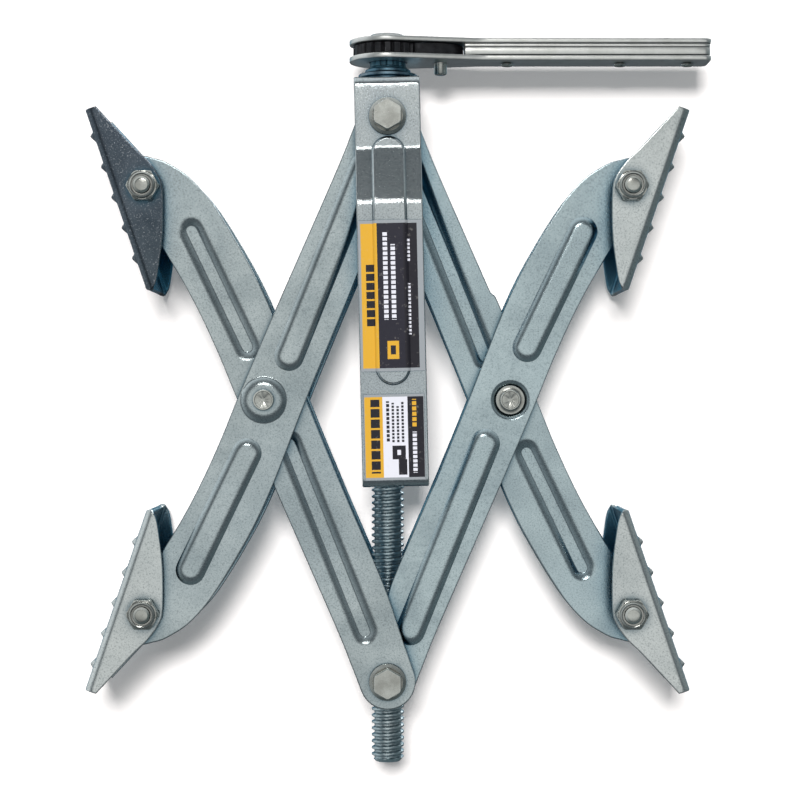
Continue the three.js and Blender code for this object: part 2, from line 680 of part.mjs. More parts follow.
function buildPawl() {
  const [px, py] = PAWL_PIN;
  const outline = [[17.9, 1.6]];
  for (const angle of [-4, -14, -24, -34, -44]) {
    outline.push([PAWL_NOSE_R * Math.cos(angle * RAD), PAWL_NOSE_R * Math.sin(angle * RAD)]);
  }
  outline.push([14.6, -13.8], [20.0, -13.2], [27.0, -11.8]);
  for (let i = 0; i <= 8; i += 1) {
    const a = (-56 + i * 12) * RAD;
    outline.push([px + PAWL_END_R * Math.cos(a), py + PAWL_END_R * Math.sin(a)]);
  }
  outline.push([26.0, 6.8], [20.0, 5.4]);
  let pawl = prismZ(orderLoop(outline), GEAR_Z[0], GEAR_Z[1]);
  pawl = pawl.subtract(barZ(px, py, 3.4, 150, 190, 16));
  toMesh('pawl', pawl, BLACK);
  toMesh('pawl_pin', barZ(px, py, 3.1, 160.4, PLATE_HIGH[1] + 0.6, 18), STEEL);
}

function buildHandleFill() {
  const fill = [[37.6, -9.9], [157.2, -9.9], [157.2, 9.9], [37.6, 9.9]];
  let bar = prismZ(fill, PLATE_LOW[1] + GAP, PLATE_HIGH[0] - GAP);
  HANDLE_RIVETS.forEach((x) => {
    bar = bar.subtract(barZ(x, 0, 2.3, 150, 190, 12));
  });
  toMesh('handle_bar', bar, PLATED);
  HANDLE_RIVETS.forEach((x, i) => {
    let rivetSolid = barZ(x, 0, 2.0, PLATE_LOW[0] - 0.5, PLATE_HIGH[1] + 0.5, 12);
    rivetSolid = rivetSolid.add(barZ(x, 0, 3.2, PLATE_LOW[0] - 1.7, PLATE_LOW[0] - GAP, 14));
    rivetSolid = rivetSolid.add(barZ(x, 0, 3.2, PLATE_HIGH[1] + GAP, PLATE_HIGH[1] + 1.3, 14));
    toMesh(`handle_rivet_${i + 1}`, rivetSolid, STEEL);
  });
}

buildBracket();
buildLabels();
buildScrew();
buildBlocks();
buildPivotHardware();
buildArms();
buildRivets();
PADS.forEach(buildPad);
buildRatchet();

export default chock;
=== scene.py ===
import json
import math

import bmesh
import bpy
import numpy as np
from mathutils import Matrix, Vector
from mathutils.geometry import delaunay_2d_cdt


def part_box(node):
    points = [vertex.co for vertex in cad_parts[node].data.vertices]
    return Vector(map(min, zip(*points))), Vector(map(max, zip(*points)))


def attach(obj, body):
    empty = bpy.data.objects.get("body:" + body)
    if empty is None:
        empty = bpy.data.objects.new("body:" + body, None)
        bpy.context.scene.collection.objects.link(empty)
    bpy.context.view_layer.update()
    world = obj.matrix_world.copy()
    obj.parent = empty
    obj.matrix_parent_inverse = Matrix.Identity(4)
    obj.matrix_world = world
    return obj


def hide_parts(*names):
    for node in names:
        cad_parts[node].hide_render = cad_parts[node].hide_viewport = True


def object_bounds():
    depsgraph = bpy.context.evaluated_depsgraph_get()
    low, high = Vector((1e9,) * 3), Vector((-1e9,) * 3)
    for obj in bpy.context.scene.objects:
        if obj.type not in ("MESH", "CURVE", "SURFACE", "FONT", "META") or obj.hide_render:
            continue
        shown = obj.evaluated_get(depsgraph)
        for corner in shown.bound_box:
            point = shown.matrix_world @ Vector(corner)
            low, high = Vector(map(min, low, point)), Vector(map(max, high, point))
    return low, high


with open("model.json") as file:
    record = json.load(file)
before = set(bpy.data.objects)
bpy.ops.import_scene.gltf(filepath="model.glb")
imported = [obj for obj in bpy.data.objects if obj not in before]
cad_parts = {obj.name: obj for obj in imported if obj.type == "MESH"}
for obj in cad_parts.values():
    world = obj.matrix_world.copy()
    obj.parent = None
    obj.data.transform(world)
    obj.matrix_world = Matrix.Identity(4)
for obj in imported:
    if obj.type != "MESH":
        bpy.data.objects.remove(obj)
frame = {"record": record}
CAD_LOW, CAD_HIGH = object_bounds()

# A screw-driven scissor wheel chock in galvanised pressed steel.
# Lengths in this script are millimetres until a mesh is written.
# X to the handle side, Y away from the front, Z up along the screw.
MM = 0.001
BODY = {n: body for body, names in frame["record"]["behaviour"]["bodies"].items() for n in names}


def span(node):
    """Lowest and highest corner of a CAD node, in millimetres."""
    low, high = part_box(node)
    return [c / MM for c in low], [c / MM for c in high]


def middle(node):
    low, high = span(node)
    return [(a + b) / 2 for a, b in zip(low, high)]


# ---- sizes that every part shares, read from the frame ---------------------
PIVOT_Z = middle("top_bolt_front")[2]
RIVET_X = middle("right_rivet_front")[0]
PAD_X = middle("pad_ur_nut")[0]
PAD_Z = middle("pad_ur_nut")[2]
LINK = math.hypot(PIVOT_Z, RIVET_X)
ARM_SIN, ARM_COS = RIVET_X / LINK, PIVOT_Z / LINK

# ---- arm stamping: u runs along the link, v away from the screw --------------
PLATE = 2.5
RIB_HEIGHT = 1.9
INNER_END_R = 13.5
OUTER_END_R = 12.2
OUTER_END = (
    (PAD_Z + PIVOT_Z) * ARM_COS + PAD_X * ARM_SIN,
    PAD_X * ARM_COS - (PAD_Z + PIVOT_Z) * ARM_SIN,
)
SCREW_SIDE_EDGE = [
    (16, -14.8), (45, -17.1), (95, -17.6), (140, -18.6), (183, -20.4),
    (205, -20.2), (222, -18.7), (236, -16.9), (248, -14.8), (257, -12.2),
    (264.5, -8.9), (270, -5.2), (274.5, -1.6), (277.5, 2.2),
    (280.8, 6.8), (281.3, 11.4), (279.9, 15.2), (277.4, 18.1),
]
FREE_SIDE_EDGE = [
    (251, 20.2), (241, 17.0), (225, 14.0), (203, 11.9), (178, 11.3),
    (152, 11.9), (110, 12.3), (36, 12.3), (14, 12.9),
]
RIBS = [((26.5, 0.4), (124.5, -2.7)), ((175.5, -2.8), (238.0, -0.6))]
RIB_BASE_R, RIB_TOP_R = 7.2, 2.6
BOSSES = {
    "a": (11.2, 6.0, 10.6, 6.4), "b": (10.0, 6.2, 9.3, 5.4),
    "c": (10.4, 7.4, 10.0, 7.0), "d": (11.6, 9.0, 11.0, 8.3),
}
ARMS = [
    ("a", -1, -1, True, True), ("b", -1, 1, False, True),
    ("c", 1, 1, True, False), ("d", 1, -1, False, False),
]
EDGE_TAB = (97.0, 120.0, 1.45, 3.0)
ARM_PIN_HOLE_R, ARM_RIVET_HOLE_R = 7.2, 4.1
RIM = 0.45
EDGE_RING = 0.4
SIDES = [("front", -1), ("rear", 1)]

# ---- M8 fasteners ----------------------------------------------------------
BOLT_R = 4.0
BOLT_HOLE_R = 4.3
HEAD_ACROSS = 13.0
NUT_ACROSS = 14.0
HEAD_HEIGHT = 5.3
FLANGE_HEAD_HEIGHT = 8.2
BOLT_PITCH = 1.25
BOLT_THREAD_LENGTH = 11
SPACER_BORE = 7.2
WASHER_BORE = 7.3
AXIS_R = 0.02


# ---- plane curves --------------------------------------------------------------
def circle(cx, cy, r, count):
    steps = [2 * math.pi * i / count for i in range(count)]
    return [(cx + r * math.cos(a), cy + r * math.sin(a)) for a in steps]


def arc(cx, cy, r, start, sweep, count):
    steps = [start + sweep * i / (count - 1) for i in range(count)]
    return [(cx + r * math.cos(a), cy + r * math.sin(a)) for a in steps]


def spline(points, step=2.0):
    """Catmull-Rom curve through points, from the second to the last but one."""
    made = []
    for a, b, c, d in zip(points, points[1:], points[2:], points[3:]):
        a, b, c, d = (np.array(p, float) for p in (a, b, c, d))
        count = max(2, int(np.linalg.norm(c - b) / step))
        for i in range(count):
            t = i / count
            made.append(tuple(0.5 * (
                2 * b + (c - a) * t + (2 * a - 5 * b + 4 * c - d) * t * t
                + (3 * b - a - 3 * c + d) * t ** 3
            )))
    made.append(tuple(points[-2]))
    return made


def resample(loop, step):
    """The closed loop again, with corners kept and no edge longer than step."""
    made = []
    for p, q in zip(loop, loop[1:] + loop[:1]):
        count = max(1, math.ceil(math.dist(p, q) / step))
        dx, dy = q[0] - p[0], q[1] - p[1]
        made += [(p[0] + dx * i / count, p[1] + dy * i / count) for i in range(count)]
    return made


def capsule(a, b, r, step=1.6):
    turn = math.atan2(b[1] - a[1], b[0] - a[0])
    ends = max(7, int(math.pi * r / step))
    loop = arc(*b, r, turn - math.pi / 2, math.pi, ends) + arc(*a, r, turn + math.pi / 2, math.pi, ends)
    return resample(loop, step * 1.6)


def to_segment(p, a, b):
    ax, ay, bx, by = *a, *b
    dx, dy = bx - ax, by - ay
    size = dx * dx + dy * dy
    t = 0 if size == 0 else max(0, min(1, ((p[0] - ax) * dx + (p[1] - ay) * dy) / size))
    return math.hypot(p[0] - ax - t * dx, p[1] - ay - t * dy)


def clockwise(loop):
    return sum(p[0] * q[1] - q[0] * p[1] for p, q in zip(loop, loop[1:] + loop[:1])) < 0


def offset(loop, distance):
    """Each point moved outwards by distance (inwards where it is negative)."""
    made = []
    sign = -1 if clockwise(loop) else 1
    for before, here, after in zip(loop[-1:] + loop[:-1], loop, loop[1:] + loop[:1]):
        dx, dy = after[0] - before[0], after[1] - before[1]
        size = math.hypot(dx, dy) or 1
        made.append((here[0] + sign * dy / size * distance, here[1] - sign * dx / size * distance))
    return made


def inside(points, loop):
    """True for each of the points that lies inside the closed loop."""
    x, y = points[:, 0], points[:, 1]
    hit = np.zeros(len(points), bool)
    for (x0, y0), (x1, y1) in zip(loop, loop[1:] + loop[:1]):
        if y0 != y1:
            crosses = (y0 > y) != (y1 > y)
            hit ^= crosses & (x < (x1 - x0) * (y - y0) / (y1 - y0) + x0)
    return hit


# ---- pieces ----------------------------------------------------------------------
def make_piece(name, verts, faces, node, slot, material, sharp=38, uvs=None):
    """One finished mesh that stands for its CAD node and rides where it does."""
    mesh = bpy.data.meshes.new(name)
    mesh.from_pydata([(x * MM, y * MM, z * MM) for x, y, z in verts], [], faces)
    if uvs:
        layer = mesh.uv_layers.new(name="print")
        for loop in mesh.loops:
            layer.data[loop.index].uv = uvs[loop.vertex_index]
    edit = bmesh.new()
    edit.from_mesh(mesh)
    if not uvs:
        bmesh.ops.remove_doubles(edit, verts=edit.verts, dist=1e-6)
    bmesh.ops.recalc_face_normals(edit, faces=edit.faces)
    edit.to_mesh(mesh)
    edit.free()
    mesh.shade_smooth()
    mesh.set_sharp_from_angle(angle=math.radians(sharp))
    mesh.materials.append(material)
    piece = bpy.data.objects.new(name, mesh)
    bpy.context.scene.collection.objects.link(piece)
    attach(piece, BODY[node])
    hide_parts(node)


def triangulate(outline, holes, features, spacing, extra=()):
    """Points and triangles that fill the outline, follow the feature loops and leave the holes out."""
    loops = [outline] + holes + features
    points, edges = [], []
    for loop in loops:
        first = len(points)
        points += loop
        edges += [(first + i, first + (i + 1) % len(loop)) for i in range(len(loop))]
    fixed = np.array(points, float)
    low, high = fixed.min(0), fixed.max(0)
    grid = []
    rows = int((high[1] - low[1]) / (spacing * 0.87)) + 1
    for row in range(rows):
        y = low[1] + row * spacing * 0.87
        x = low[0] + (spacing / 2 if row % 2 else 0)
        while x < high[0]:
            grid.append((x, y))
            x += spacing
    grid = np.array(grid + list(extra), float)
    keep = inside(grid, outline)
    for hole in holes:
        keep &= ~inside(grid, hole)
    grid = grid[keep]
    room = spacing * 0.5 * 0.55
    for at in range(0, len(fixed), 400):
        near = fixed[at:at + 400]
        gap = np.sqrt(((grid[:, None, :] - near[None]) ** 2).sum(2)).min(1)
        grid = grid[gap > room]
    points += [tuple(p) for p in grid]
    made = delaunay_2d_cdt([Vector(p) for p in points], edges, [], 0, 1e-5)
    flat = np.array([tuple(p) for p in made[0]], float)
    tris = np.array([list(t) for t in made[2]], int)
    centres = flat[tris].mean(1)
    keep = inside(centres, outline)
    for hole in holes:
        keep &= ~inside(centres, hole)
    return flat, tris[keep]


def border_loops(tris):
    """The open edges of the triangles, as loops of point numbers."""
    count = {}
    for a, b, c in tris:
        for p, q in ((a, b), (b, c), (c, a)):
            count[(p, q)] = count.get((p, q), 0) + 1
    follow = {p: q for (p, q) in count if (q, p) not in count}
    loops = []
    while follow:
        start, here = next(iter(follow.items()))
        del follow[start]
        loop = [start]
        while here != start:
            loop.append(here)
            here = follow.pop(here)
        loops.append(loop)
    return loops


def sheet(outline, holes, features, top, bottom, to_space, rim=RIM, spacing=3.0, extra=()):
    """A pressed sheet with rounded rims: top and bottom give its two faces' heights at a point."""
    inner = offset(outline, -rim)
    cut = [offset(hole, rim) for hole in holes]
    margins = [offset(inner, -EDGE_RING)] + [offset(hole, EDGE_RING) for hole in cut]
    flat, tris = triangulate(inner, cut, features + margins, spacing, extra)
    tris = [tuple(t) for t in tris]
    tris = [t if np.cross(flat[t[1]] - flat[t[0]], flat[t[2]] - flat[t[0]]) > 0 else t[::-1] for t in tris]
    high = [top(p) for p in flat]
    low = [bottom(p) for p in flat]
    count = len(flat)
    verts = [to_space(p[0], p[1], h) for p, h in zip(flat, high)]
    verts += [to_space(p[0], p[1], h) for p, h in zip(flat, low)]
    faces = [tuple(int(i) for i in t) for t in tris]
    faces += [tuple(int(i) + count for i in reversed(t)) for t in tris]
    turn = 0.29 * rim
    for loop in border_loops(tris):
        ring = []
        for k, here in enumerate(loop):
            before, after = flat[loop[k - 1]], flat[loop[(k + 1) % len(loop)]]
            along = after - before
            out = np.array([along[1], -along[0]]) / (np.hypot(*along) or 1)
            p, h, b = flat[here], high[here], low[here]
            rows = [int(here)]
            profile = [(rim - turn, h - turn), (rim, h - rim), (rim, b + rim), (rim - turn, b + turn)]
            for reach, level in profile:
                q = p + out * reach
                verts.append(to_space(q[0], q[1], level))
                rows.append(len(verts) - 1)
            rows.append(int(here) + count)
            ring.append(rows)
        for one, two in zip(ring, ring[1:] + ring[:1]):
            for k in range(len(one) - 1):
                faces.append((one[k], one[k + 1], two[k + 1], two[k]))
    return verts, faces


def rings_to_mesh(rings, close_start=True, close_end=True):
    """Rings of points with equal counts, joined side to side and capped."""
    verts = [p for ring in rings for p in ring]
    count = len(rings[0])
    faces = []
    for k in range(len(rings) - 1):
        for i in range(count):
            j = (i + 1) % count
            faces.append((k * count + i, k * count + j, (k + 1) * count + j, (k + 1) * count + i))
    if close_start:
        faces.append(tuple(range(count)))
    if close_end:
        faces.append(tuple(range(len(verts) - count, len(verts))))
    return verts, faces


def profile_rings(profile, place, count, shift=0.0):
    """A ring for each (radius, height), where a radius may be a function of the angle."""
    rings = []
    for radius, height in profile:
        ring = []
        for i in range(count):
            a = 2 * math.pi * (i + shift) / count
            r = radius(a) if callable(radius) else radius
            ring.append(place(r * math.cos(a), r * math.sin(a), height))
        rings.append(ring)
    return rings


def turned(profile, place, count=48):
    """A turned solid, from one end of its axis to the other."""
    return rings_to_mesh(profile_rings(profile, place, count))


def bored(profile, place, count, shift=0.0):
    """A turned solid with a hole through it: its profile closes on itself."""
    return rings_to_mesh(profile_rings(profile + profile[:1], place, count, shift), False, False)


def tube(outer, inner, low, high, place, count=56, edge=0.4):
    profile = [
        (inner, low + edge), (inner + edge, low), (outer - edge, low), (outer, low + edge),
        (outer, high - edge), (outer - edge, high), (inner + edge, high), (inner, high - edge),
    ]
    return bored(profile, place, count)


def along_y(x, z, sign=1):
    """A place function whose height runs along Y from the screw axis, to the front where sign is -1."""
    return lambda a, b, h: (x + a, sign * h, z + b)


def along_z(x=0, y=0):
    return lambda a, b, h: (x + a, y + b, h)


def joined(*shapes):
    verts, faces = [], []
    for points, polygons in shapes:
        first = len(verts)
        verts += points
        faces += [tuple(first + i for i in polygon) for polygon in polygons]
    return verts, faces


# ---- materials ----------------------------------------------------------------------
class Nodes:
    """A short way to write a node material: every method adds a node and returns its output."""

    def __init__(self, name, world=False):
        self.material = bpy.data.worlds.new(name) if world else bpy.data.materials.new(name)
        self.material.use_nodes = True
        self.tree = self.material.node_tree
        self.shader = self.tree.nodes["Background" if world else "Principled BSDF"]
        self.where = self.add("ShaderNodeTexCoord").outputs["Generated" if world else "Object"]

    def add(self, kind, **settings):
        node = self.tree.nodes.new(kind)
        for key, value in settings.items():
            setattr(node, key, value)
        return node

    def put(self, socket, value):
        if isinstance(value, bpy.types.NodeSocket):
            self.tree.links.new(value, socket)
        else:
            socket.default_value = value

    def noise(self, scale, detail=4.0, rough=0.55, stretch=None, distort=0.0, where=None):
        where = where or self.where
        if stretch:
            mapping = self.add("ShaderNodeMapping")
            self.put(mapping.inputs["Vector"], where)
            mapping.inputs["Rotation"].default_value = stretch[1]
            mapping.inputs["Scale"].default_value = stretch[0]
            where = mapping.outputs[0]
        node = self.add("ShaderNodeTexNoise")
        self.put(node.inputs["Vector"], where)
        node.inputs["Scale"].default_value = scale
        node.inputs["Detail"].default_value = detail
        node.inputs["Roughness"].default_value = rough
        node.inputs["Distortion"].default_value = distort
        return node.outputs["Fac"]

    def cells(self, scale, feature="F1"):
        node = self.add("ShaderNodeTexVoronoi", feature=feature)
        self.put(node.inputs["Vector"], self.where)
        node.inputs["Scale"].default_value = scale
        return node.outputs["Distance"]

    def fit(self, value, low, high, to_low=0.0, to_high=1.0):
        node = self.add("ShaderNodeMapRange")
        self.put(node.inputs["Value"], value)
        for key, number in zip(("From Min", "From Max", "To Min", "To Max"), (low, high, to_low, to_high)):
            node.inputs[key].default_value = number
        return node.outputs[0]

    def math(self, operation, a, b):
        node = self.add("ShaderNodeMath", operation=operation)
        self.put(node.inputs[0], a)
        self.put(node.inputs[1], b)
        return node.outputs[0]

    def toward(self, direction, vector):
        """Dot product with a fixed direction."""
        node = self.add("ShaderNodeVectorMath", operation="DOT_PRODUCT")
        self.put(node.inputs[0], vector)
        node.inputs[1].default_value = Vector(direction).normalized()
        return node.outputs["Value"]

    def mix(self, factor, a, b, blend="MIX"):
        node = self.add("ShaderNodeMix", data_type="RGBA", blend_type=blend)
        self.put(node.inputs["Factor"], factor)
        self.put(node.inputs[6], a)
        self.put(node.inputs[7], b)
        return node.outputs[2]

    def bump(self, height, strength, distance, under=None):
        node = self.add("ShaderNodeBump")
        self.put(node.inputs["Height"], height)
        node.inputs["Strength"].default_value = strength
        node.inputs["Distance"].default_value = distance
        if under is not None:
            self.put(node.inputs["Normal"], under)
        return node.outputs[0]

    def edges(self, radius=0.0012):
        """1 on worn convex edges, 0 on flat faces."""
        bevel = self.add("ShaderNodeBevel", samples=4)
        bevel.inputs["Radius"].default_value = radius
        geometry = self.add("ShaderNodeNewGeometry")
        dot = self.add("ShaderNodeVectorMath", operation="DOT_PRODUCT")
        self.put(dot.inputs[0], bevel.outputs[0])
        self.put(dot.inputs[1], geometry.outputs["Normal"])
        return self.fit(dot.outputs["Value"], 0.995, 0.86)

    def crevice(self, distance=0.005, most=0.75, start=0.92, stop=0.25):
        """Near 1 in corners and between parts, where little light gets in."""
        shade = self.add("ShaderNodeAmbientOcclusion", samples=6)
        shade.inputs["Distance"].default_value = distance
        return self.fit(shade.outputs["AO"], start, stop, 0.0, most)

    def finish(self, color, rough, normal, metallic=1.0):
        self.put(self.shader.inputs["Base Color"], color)
        self.put(self.shader.inputs["Roughness"], rough)
        self.put(self.shader.inputs["Normal"], normal)
        self.shader.inputs["Metallic"].default_value = metallic
        return self.material


def zinc_plate(name, light, dark, cast, rough=(0.17, 0.23), grain=1.0, lay=0.0, inner=0.9):
    """Passivated zinc on rolled sheet: fine grain, faint clouds, rolling lines, rubbed edges.

    lay turns the rolling lines, and inner is how strongly painted blue shade tints the sheltered faces;
    corners also get painted near-black shade.
    """
    n = Nodes(name)
    cloud = n.noise(34, 5, 0.6, distort=0.4)
    fine = n.noise(1250, 3, 0.75)
    lines = n.noise(45, 5, 0.7, stretch=((1, 1, 40), (0, lay, 0)))
    base = n.mix(n.fit(cloud, 0.34, 0.64), dark, light)
    base = n.mix(n.fit(n.noise(9, 3, 0.5), 0.42, 0.70, 0, 0.6), base, cast)
    base = n.mix(n.fit(fine, 0.28, 0.50, 0.50 * grain, 0.0), base, (0.10, 0.13, 0.15, 1))
    base = n.mix(n.fit(fine, 0.56, 0.78, 0, 0.40 * grain), base, (0.94, 0.96, 0.97, 1))
    worn = n.math("MULTIPLY", n.edges(), n.fit(fine, 0.3, 0.6, 0.05, 0.3))
    base = n.mix(worn, base, (0.86, 0.88, 0.89, 1))
    # painted shade: faces that a wide occlusion test finds sheltered by other parts are tinted dark
    # teal-blue
    base = n.mix(n.crevice(0.07, inner, 0.72, 0.40), base, (0.05, 0.25, 0.38, 1))
    # painted shade: near black in corners, creases and between parts, found by an occlusion test
    base = n.mix(n.crevice(), base, (0.05, 0.075, 0.09, 1))
    gloss = n.math("ADD", n.fit(cloud, 0.3, 0.7, rough[1], rough[0]), n.fit(lines, 0.35, 0.7, -0.01, 0.02))
    relief = n.bump(fine, 0.20 * grain, 0.0002)
    relief = n.bump(lines, 0.06 * grain, 0.0003, relief)
    relief = n.bump(n.noise(25, 2), 0.05 * grain, 0.0010, relief)
    return n.finish(base, gloss, relief)


def bright_steel(name, light, dark, rough=(0.2, 0.38), corner_shade=0.85):
    """Machined and plated steel with turning marks and small stains."""
    n = Nodes(name)
    cloud = n.noise(120, 4, 0.6)
    fine = n.noise(800, 3, 0.7)
    base = n.mix(n.fit(cloud, 0.35, 0.68), dark, light)
    base = n.mix(n.fit(n.cells(1400), 0, 0.2, 0.2, 0), base, (0.13, 0.13, 0.12, 1))
    base = n.mix(n.fit(n.edges(0.0007), 0, 1, 0, 0.4), base, (0.9, 0.9, 0.88, 1))
    # painted shade: near black in corners and between parts, found by an occlusion test
    base = n.mix(n.crevice(0.003, corner_shade), base, (0.05, 0.05, 0.045, 1))
    gloss = n.fit(fine, 0.3, 0.75, *rough)
    relief = n.bump(fine, 0.08, 0.0002)
    relief = n.bump(cloud, 0.12, 0.0005, relief)
    return n.finish(base, gloss, relief)


def black_oxide(name):
    """Blacked steel, rubbed a little brighter on its edges."""
    n = Nodes(name)
    cloud = n.noise(200, 4, 0.6)
    worn = n.math("MULTIPLY", n.edges(0.0006), n.fit(n.noise(500, 3), 0.35, 0.65))
    base = n.mix(n.fit(cloud, 0.3, 0.7), (0.012, 0.012, 0.014, 1), (0.035, 0.036, 0.04, 1))
    base = n.mix(n.math("MULTIPLY", worn, 0.4), base, (0.22, 0.22, 0.23, 1))
    gloss = n.fit(cloud, 0.3, 0.7, 0.32, 0.52)
    return n.finish(base, gloss, n.bump(cloud, 0.15, 0.0004), 0.7)


ZINC_LIGHT = zinc_plate(
    "zinc_sheet", (0.70, 0.77, 0.775, 1), (0.49, 0.56, 0.575, 1), (0.52, 0.62, 0.66, 1), lay=0.4,
)
ZINC_COOL = zinc_plate(
    "zinc_sheet_cool", (0.71, 0.83, 0.85, 1), (0.51, 0.61, 0.64, 1), (0.54, 0.67, 0.72, 1), lay=-0.4,
)
# A much darker copy of the zinc, used on the upper left pad only.
ZINC_DARK = zinc_plate(
    "zinc_sheet_darker", (0.15, 0.18, 0.21, 1), (0.05, 0.07, 0.09, 1), (0.08, 0.10, 0.14, 1), grain=1.5,
)
ZINC_STRAP = zinc_plate(
    "zinc_strap", (0.70, 0.745, 0.75, 1), (0.56, 0.61, 0.63, 1), (0.55, 0.62, 0.66, 1),
    rough=(0.15, 0.20), lay=1.57,
)
ZINC_PAD = zinc_plate(
    "zinc_pad", (0.90, 0.93, 0.91, 1), (0.72, 0.76, 0.75, 1), (0.76, 0.82, 0.82, 1),
    rough=(0.19, 0.25),
)
ZINC_SCREW = zinc_plate(
    "zinc_thread", (0.92, 0.98, 0.98, 1), (0.62, 0.76, 0.80, 1), (0.44, 0.62, 0.70, 1),
    rough=(0.26, 0.36), grain=0.7, inner=0.05,
)
ZINC_HUB = zinc_plate(
    "zinc_hub", (0.34, 0.42, 0.48, 1), (0.10, 0.15, 0.20, 1), (0.14, 0.22, 0.30, 1),
    rough=(0.18, 0.26), grain=0.8,
)
FASTENER = bright_steel("fastener_steel", (0.76, 0.77, 0.72, 1), (0.50, 0.50, 0.46, 1), (0.16, 0.30))
NICKEL = bright_steel("handle_plating", (0.98, 0.98, 0.95, 1), (0.84, 0.84, 0.80, 1), (0.30, 0.40), 0.35)
CAP_STEEL = bright_steel("cap_plating", (0.70, 0.70, 0.68, 1), (0.48, 0.48, 0.47, 1), (0.18, 0.30))
OXIDE = black_oxide("black_oxide")


# ---- arms -----------------------------------------------------------------------------
def with_tab(loop):
    """The outline with a small tab on its free edge, at v over 5."""
    start, stop, reach, slope = EDGE_TAB
    made = []
    for u, v in loop:
        rise = min(1.0, max(0.0, min(u - start, stop - u)) / slope)
        made.append((u, v + reach * math.sin(rise * math.pi / 2) if v > 5 else v))
    return made


def arm_outline():
    inner = arc(0, 0, INNER_END_R, math.pi / 2, math.pi, 24)
    outer = arc(*OUTER_END, OUTER_END_R, 0.25 * math.pi, 0.33 * math.pi, 9)
    screw_side = [inner[-2], inner[-1], *SCREW_SIDE_EDGE, outer[0], outer[1]]
    free_side = [outer[-2], outer[-1], *FREE_SIDE_EDGE, inner[0], inner[1]]
    return inner[:-1] + spline(screw_side) + outer[1:-1] + spline(free_side)[:-1]


def share(distance, base, top):
    return max(0.0, min(1.0, (base - distance) / (base - top)))


def crowned(t):
    """Raised side of a pressing: sharp at its foot, soft over its shoulder."""
    return 1 - (1 - t) ** 2.2


def dished(t):
    """Hollow side of a pressing: soft at its lip, sharp round its floor."""
    return t ** 1.7


def build_arm(key, side, hang, ribs_out, boss_out, word, sign):
    node = f"arm_{key}_{word}"
    depth = max(abs(span(node)[0][1]), abs(span(node)[1][1]))
    near = depth - PLATE - (RIB_HEIGHT if ribs_out or boss_out else 0)
    boss = (LINK, 0)
    base, crown, hollow, hollow_crown = BOSSES[key]

    def to_space(u, v, h):
        x = side * (u * ARM_SIN + v * ARM_COS)
        z = -hang * PIVOT_Z + hang * (u * ARM_COS - v * ARM_SIN)
        return (x, sign * (near + h), z)

    def pressed(p, outward):
        """Height of one face at p: outward is +1 for the face away from the screw."""
        height = 0.0
        shape = {1: crowned, -1: dished}
        for a, b in RIBS:
            t = share(to_segment(p, a, b), RIB_BASE_R, RIB_TOP_R)
            way = 1 if ribs_out else -1
            height += way * RIB_HEIGHT * shape[way * outward](t)
        way = 1 if boss_out else -1
        sizes = (base, crown) if way * outward > 0 else (hollow, hollow_crown)
        t = share(to_segment(p, boss, boss), *sizes)
        return height + way * RIB_HEIGHT * shape[way * outward](t)

    features = []
    steps = (-0.1, 0.0, 0.12, 0.26, 0.42, 0.6, 0.78, 0.9, 1.0, 1.12)
    for a, b in RIBS:
        features += [capsule(a, b, RIB_BASE_R - t * (RIB_BASE_R - RIB_TOP_R)) for t in steps]
    features += [circle(*boss, base - t * (base - crown), 44) for t in steps]
    pin_hole = circle(0, 0, ARM_PIN_HOLE_R, 40)
    rivet_hole = circle(*boss, ARM_RIVET_HOLE_R, 24)
    bolt_hole = circle(*OUTER_END, BOLT_HOLE_R, 24)
    outline = with_tab(arm_outline()) if node == "arm_d_front" else arm_outline()
    verts, faces = sheet(
        outline, [pin_hole, rivet_hole, bolt_hole], features,
        lambda p: PLATE + pressed(p, 1), lambda p: pressed(p, -1), to_space, spacing=4.0,
    )
    material = ZINC_LIGHT if side < 0 else ZINC_COOL
    make_piece(f"{node}_stamping", verts, faces, node, "zinc_plate", material)


def build_arms():
    for key, side, hang, ribs_out, boss_out in ARMS:
        for word, sign in SIDES:
            build_arm(key, side, hang, ribs_out, boss_out, word, sign)


# ---- bracket ----------------------------------------------------------------------------
STRAP_T = 3.0
STRAP_HALF_W = 15.85
LEAN = math.radians(1.3)
BEAD_HEIGHT = 1.6
BEAD_BASE_R, BEAD_TOP_R = 8.3, 6.8
BEAD_TOP_Z, BEAD_BOTTOM_Z = 126.8, 7.0
JOG_TOP_Z, JOG_BOTTOM_Z, JOG = 121.0, 94.0, 8.0
REAR_LEG_Z = 121.0
SCREW_HOLE_R = 8.9
WASHER_HALF_T = 1.35


def lean(x, y, z):
    """The bracket hangs a little off the screw axis, turned about the top pivot."""
    c, s = math.cos(LEAN), math.sin(LEAN)
    return (c * x - s * (z - PIVOT_Z), y, PIVOT_Z + s * x + c * (z - PIVOT_Z))


